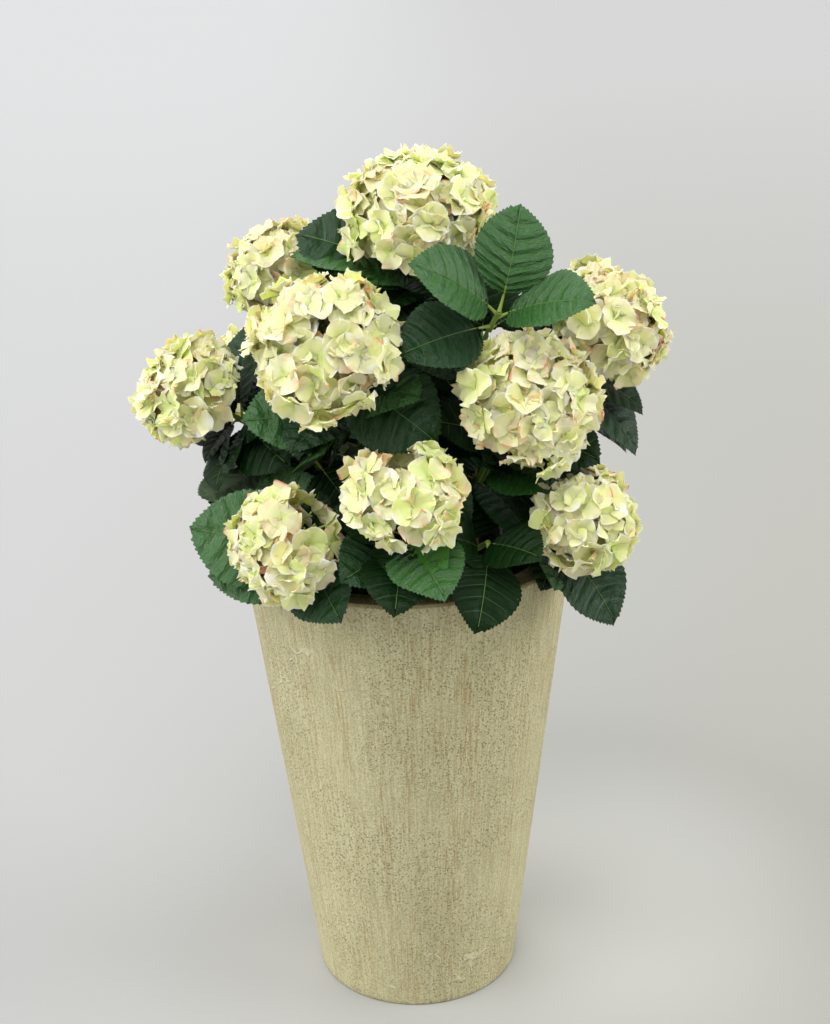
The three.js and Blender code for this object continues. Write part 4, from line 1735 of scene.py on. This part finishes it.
@dataclass
class Bloom:
    """The flower heads: florets spread over a flattened ball, on thin stalks that fan out inside."""

    fan_share = 0.35
    depth: float = 0.77
    skirt: float = 116
    spacing: float = 24.5
    jitter: float = 0.6
    least_ring: float = 0.2
    sink: tuple[float, float] = (0.72, 0.88)
    inner_spacing: float = 29
    inner_sink: tuple[float, float] = (0.5, 0.66)
    inner_clear: float = 16
    tilt: float = 20
    cover: float = 0.85
    size: tuple[float, float] = (0.85, 1.08)
    variants: int = 16
    pattern_seeds: int = 90
    head_seeds: int = 7
    own_tint: float = 0.35
    stalk_radius: float = 0.75
    stalk_sides: int = 5
    stalk_rings: int = 4
    stalk_sink: float = 1.5
    bare_stalk: float = 0.8
    piece_triangles: int = 130000
    floret: Floret = field(default_factory=Floret)
    inner: Floret = field(default_factory=lambda: Floret(columns=(-1, -0.35, 0.35, 1), rows=(0, 0.55, 1)))
    tints: tuple[tuple[Tint, float], ...] = (
        (Tint.LIME, 0.15), (Tint.PALE, 0.24), (Tint.CREAM, 0.19), (Tint.IVORY, 0.08), (Tint.BLUSH, 0.15),
        (Tint.PEACH, 0.07), (Tint.CORAL, 0.12),
    )
    dyes: tuple[SilkFinish, ...] = (
        SilkFinish("petal_lime", "dff19b", glow=1.0),
        SilkFinish("petal_pale", "f0f8ae", glow=1.0),
        SilkFinish("petal_cream", "fcf4bb", glow=1.0),
        SilkFinish("petal_ivory", "fffadb", glow=1.0),
        SilkFinish("petal_blush", "fee1b6", glow=1.0),
        SilkFinish("petal_apricot", "fdcaa0", glow=1.0),
        SilkFinish("petal_coral", "f9a683", glow=1.0),
        SilkFinish("petal_button", "d8d374"),
    )
    stalk: SilkFinish = SilkFinish("floret_stalk", "b9c46a", (0.6, 0.7))

    def build(self, stems: Sequence[Stem], rule: Growth) -> list[bpy.types.Object]:
        """Makes the petals in a few pieces, and all floret stalks in one.

        Args:
            stems: The stems of the plant.
            rule: The growth rule.

        Returns:
            The pieces.
        """
        seeds = [rule.seed_of(Stage.BLOOM, self.pattern_seeds, index) for index in range(self.variants)]
        outer = [self.floret.pattern(even_draws(seed)) for seed in seeds]
        inner = [self.inner.pattern(even_draws(seed)) for seed in seeds]
        layers = (
            Layer(outer, self.spacing, self.sink, 0),
            Layer(inner, self.inner_spacing, self.inner_sink, self.inner_clear),
        )
        bar = bar_pattern(self.stalk_sides, self.stalk_rings)
        dyes = [finish.material() for finish in self.dyes]
        stalks = Heap()
        pieces, petals, nodes = [], Heap(), []
        flowering = [stem for stem in stems if stem.shoot.radius]
        for stem in flowering:
            self.dress(stem, rule, layers, bar, petals, stalks)
            nodes.append(f"bloom_{stem.shoot.name}")
            if petals.triangles > self.piece_triangles or stem is flowering[-1]:
                piece = petals.piece(f"petals_{len(pieces) + 1}", dyes, 60)
                pieces.append(fitted(piece, nodes))
                petals, nodes = Heap(), []
        names = [f"bloom_{stem.shoot.name}" for stem in flowering]
        return [*pieces, fitted(stalks.piece("floret_stalks", [self.stalk.material()]), names)]

    def dress(
        self, stem: Stem, rule: Growth, layers: Sequence[Layer], bar: Pattern, petals: Heap, stalks: Heap,
    ) -> None:
        """Spreads the florets of one head.

        Args:
            stem: The stem that carries the head.
            rule: The growth rule.
            layers: The head's florets, from the outside in.
            bar: The pattern of a floret's stalk.
            petals: Where the florets go.
            stalks: Where their stalks go.
        """
        shoot = stem.shoot
        draw = even_draws(rule.seed_of(Stage.BLOOM, stem.number, self.head_seeds))
        axis, middle = shoot.direction, np.array(shoot.head)
        across = np.array([*square_to(axis), axis])
        fan = stem.curve.tip + (middle - stem.curve.tip) * self.fan_share
        head = Head(axis, fan, draw, petals, stalks)
        lowest = math.cos(math.radians(self.skirt))
        radius = shoot.radius * shoot.grown
        area = math.tau * radius**2 * (1 - lowest) * self.cover
        for layer in layers:
            count = round(area / layer.spacing**2)
            for index in range(count):
                polar = math.acos(1 - (1 - lowest) * ((index + 0.5 + self.jitter * (draw() - 0.5)) / count))
                level = math.sin(polar)
                around = index * math.pi * GOLDEN_HALF_TURNS
                around += self.jitter * (draw() - 0.5) / max(level, self.least_ring)
                ring = radius * between(layer.sink, draw())
                way = np.array([level * math.cos(around), level * math.sin(around), math.cos(polar)])
                outward = unit(way * np.array([1, 1, 1 / self.depth]) @ across)
                eye = middle + ring * (way * np.array([1, 1, self.depth])) @ across
                bare = self.parted(shoot, unit(eye - middle), layer.clear)
                self.place(head, eye, self.leaned(outward, draw), layer.patterns, bar, bare)
        for heading, rise, reach in shoot.strays:
            way = compass(heading, rise)
            squash = math.sqrt(1 + (1 / self.depth**2 - 1) * float(way @ axis) ** 2)
            eye = middle + way * radius * reach / squash
            self.place(head, eye, self.leaned(way, draw), layers[0].patterns, bar, False)

    def parted(self, shoot: Shoot, way: Vec, clear: float) -> bool:
        """Tells whether florets stand apart in a direction.

        Args:
            shoot: The shoot that carries the head.
            way: The direction from the head's middle.
            clear: The angle by which its partings are widened.

        Returns:
            Whether the direction falls in one of them.
        """
        return any(
            float(compass(heading, rise) @ way) > math.cos(math.radians(spread + clear))
            for heading, rise, spread in shoot.partings
        )

    def leaned(self, outward: Vec, draw: Draw) -> Vec:
        """Leans a direction by chance.

        Args:
            outward: The direction.
            draw: Gives the chances.

        Returns:
            The direction as leaned.
        """
        first, second = square_to(outward)
        lean, around = math.radians(self.tilt) * math.sqrt(draw()), math.tau * draw()
        return swung(outward, swung(first, second, around), lean)

    def place(
        self, head: Head, eye: Vec, facing: Vec, florets: Sequence[Pattern], bar: Pattern, bare: bool,
    ) -> None:
        """Puts down one floret with its stalk.

        Args:
            head: The head that it is part of.
            eye: The floret's middle.
            facing: The way that it looks.
            florets: The floret patterns to choose from.
            bar: The pattern of a stalk.
            bare: Whether the stalk stands alone, without its floret.
        """
        draw, fan = head.draw, head.fan
        pattern = florets[int(draw() * len(florets))]
        spin, size = math.tau * draw(), between(self.size, draw())
        main = draw()
        own = [draw() for _ in self.floret.lifts]
        tints = [self.tint(chance / self.own_tint if chance < self.own_tint else main) for chance in own]
        dyes = np.array([tint.value for tint in tints]).ravel()
        first, second = square_to(facing)
        turned = np.array([swung(first, second, spin), swung(second, -first, spin), facing])
        root = eye - facing * self.stalk_sink
        if bare:
            root = fan + (root - fan) * self.bare_stalk
        else:
            head.petals.add(pattern, eye + size * pattern.points @ turned, dyes[pattern.regions])
        reach = np.linalg.norm(root - fan)
        stalk = Bezier(fan, fan + head.axis * reach * 0.3, root - facing * reach * 0.25, root)
        head.stalks.add(bar, along_curve(bar, stalk, 0, 1, self.stalk_radii), bar.regions)

    def stalk_radii(self, shares: Vec, angles: Vec) -> Vec:
        """The radii of a floret's stalk, a little wider at its ends."""
        return self.stalk_radius * (1 + 0.5 * (2 * shares - 1) ** 4)

    def tint(self, share: float) -> Tint:
        """Picks a tint.

        Args:
            share: A share of all chances.

        Returns:
            The tint that falls there.
        """
        for tint, chance in self.tints:
            share -= chance
            if share < 0:
                return tint
        return self.tints[0][0]


# ---------------------------------------------------------------- studio

@dataclass(frozen=True)
class SoftSun:
    """An even light from one side, as broad as its spread in degrees."""

    name: str
    source: tuple[float, float, float]
    strength: float
    spread: float

    def build(self) -> None:
        """Makes the light."""
        data = bpy.data.lights.new(self.name, "SUN")
        data.energy, data.angle = self.strength, math.radians(self.spread)
        lamp = bpy.data.objects.new(self.name, data)
        lamp.rotation_euler = Vector(self.source).to_track_quat("Z", "Y").to_euler()
        bpy.context.scene.collection.objects.link(lamp)


@dataclass
class Studio:
    """A pale floor, soft light from both sides and above, and a camera that looks down a little."""

    eye: tuple[float, float, float] = (0.004, -1.914, 1.351)
    pitch: float = 21.69
    yaw: float = 0.178
    roll: float = -1.435
    lens: float = 63.35
    sensor: float = 36
    floor_radius: float = 24
    # Near left, near right, far left and far right: a painted falloff of light, darker in front and on the
    # right.
    painted_falloff_colours: tuple[str, ...] = ("b3b3b2", "a3a29b", "bcbdbd", "b2b2b1")
    floor_width: tuple[float, float] = (-0.9, 0.9)
    floor_depth: tuple[float, float] = (-1, 8)
    # A painted patch of light beside the pot, over the shadow that the pot and plant cast, with its middle
    # and its reach.
    pale: str = "c9c9c4"
    painted_light_middle: tuple[float, float, float] = (0.2, 0.12, 0)
    painted_light_reach: tuple[float, float] = (0.05, 0.45)
    sky: float = 0.43
    sky_colour: str = "f4f5f8"
    suns: tuple[SoftSun, ...] = (
        SoftSun("overhead", (-0.2, -0.4, 1.0), 1.75, 60),
        SoftSun("key", (-0.15, -0.4, 1.0), 0.45, 22),
        SoftSun("left", (-1.0, -0.15, 0.4), 1.5, 45),
        SoftSun("right", (1.0, -0.05, 0.35), 1.6, 45),
        SoftSun("behind", (-0.3, 1.0, 0.8), 0.7, 45),
    )

    def build(self) -> None:
        """Sets up the whole studio."""
        self.camera()
        self.floor()
        self.world()
        for sun in self.suns:
            sun.build()
        bpy.context.scene.view_settings.view_transform = "Standard"

    def camera(self) -> None:
        """Makes the camera."""
        pitch, yaw, roll = (math.radians(angle) for angle in (self.pitch, self.yaw, self.roll))
        turn = Matrix.Rotation(-yaw, 4, "Z") @ Matrix.Rotation(math.pi / 2 - pitch, 4, "X")
        data = bpy.data.cameras.new("camera")
        data.lens, data.sensor_width, data.sensor_fit = self.lens, self.sensor, "AUTO"
        data.clip_end = 100
        camera = bpy.data.objects.new("camera", data)
        camera.matrix_world = Matrix.Translation(self.eye) @ turn @ Matrix.Rotation(roll, 4, "Z")
        bpy.context.scene.collection.objects.link(camera)
        bpy.context.scene.camera = camera

    def floor(self) -> None:
        """Makes the floor, painted darker in front and on the right as a falloff of light, and paler beside
        the pot as painted light over its shadow.
        """
        bm = bmesh.new()
        bmesh.ops.create_circle(bm, cap_ends=True, segments=96, radius=self.floor_radius)
        mesh = bpy.data.meshes.new("floor")
        bm.to_mesh(mesh)
        bm.free()
        shader = Shader("floor_paint")
        near_left, near_right, far_left, far_right = (linear(code) for code in self.painted_falloff_colours)
        place = shader.place()
        rightward = shader.node("ShaderNodeSeparateXYZ", {}, {0: place}, output=0).step(*self.floor_width)
        backward = shader.node("ShaderNodeSeparateXYZ", {}, {0: place}, output=1).step(*self.floor_depth)
        # The painted falloff of light, across and then back.
        near = shader.blend(rightward, near_left, near_right)
        far = shader.blend(rightward, far_left, far_right)
        # The painted light over the pot's shadow, fading out from its middle.
        beside = shader.vector("SUBTRACT", place, self.painted_light_middle)
        away = shader.vector("LENGTH", beside, output=1).step(*self.painted_light_reach)
        pale = shader.blend(away, linear(self.pale), near)
        shader.put(Base_Color=shader.blend(backward, pale, far), Roughness=0.9, Specular_IOR_Level=0.2)
        shown(mesh, [shader.material], 30)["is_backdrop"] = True

    def world(self) -> None:
        """Fills the room with even light."""
        world = bpy.data.worlds.new("room")
        world.use_nodes = True
        background = world.node_tree.nodes["Background"]
        background.inputs["Color"].default_value = linear(self.sky_colour)
        background.inputs["Strength"].default_value = self.sky
        bpy.context.scene.world = world


def write_sizes() -> None:
    """Gathers the box of the solids and the box of the looks into a table, which is not kept."""
    boxes = {"cad": cad_box, "visual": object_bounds()}
    {name: [list(map(float, corner)) for corner in box] for name, box in boxes.items()}


def main() -> None:
    """Builds the studio, the pot and the plant."""
    Studio().build()
    rule = Growth()
    planter = Planter()
    planter.build()
    PlantingFill(planter).build()
    stems = [Stem(shoot, number, rule) for number, shoot in enumerate(SHOOTS)]
    Canes().build(stems)
    GreenStems().build(stems)
    Foliage().build(stems, rule)
    Bloom().build(stems, rule)
    write_sizes()


if __name__ == "__main__":
    main()
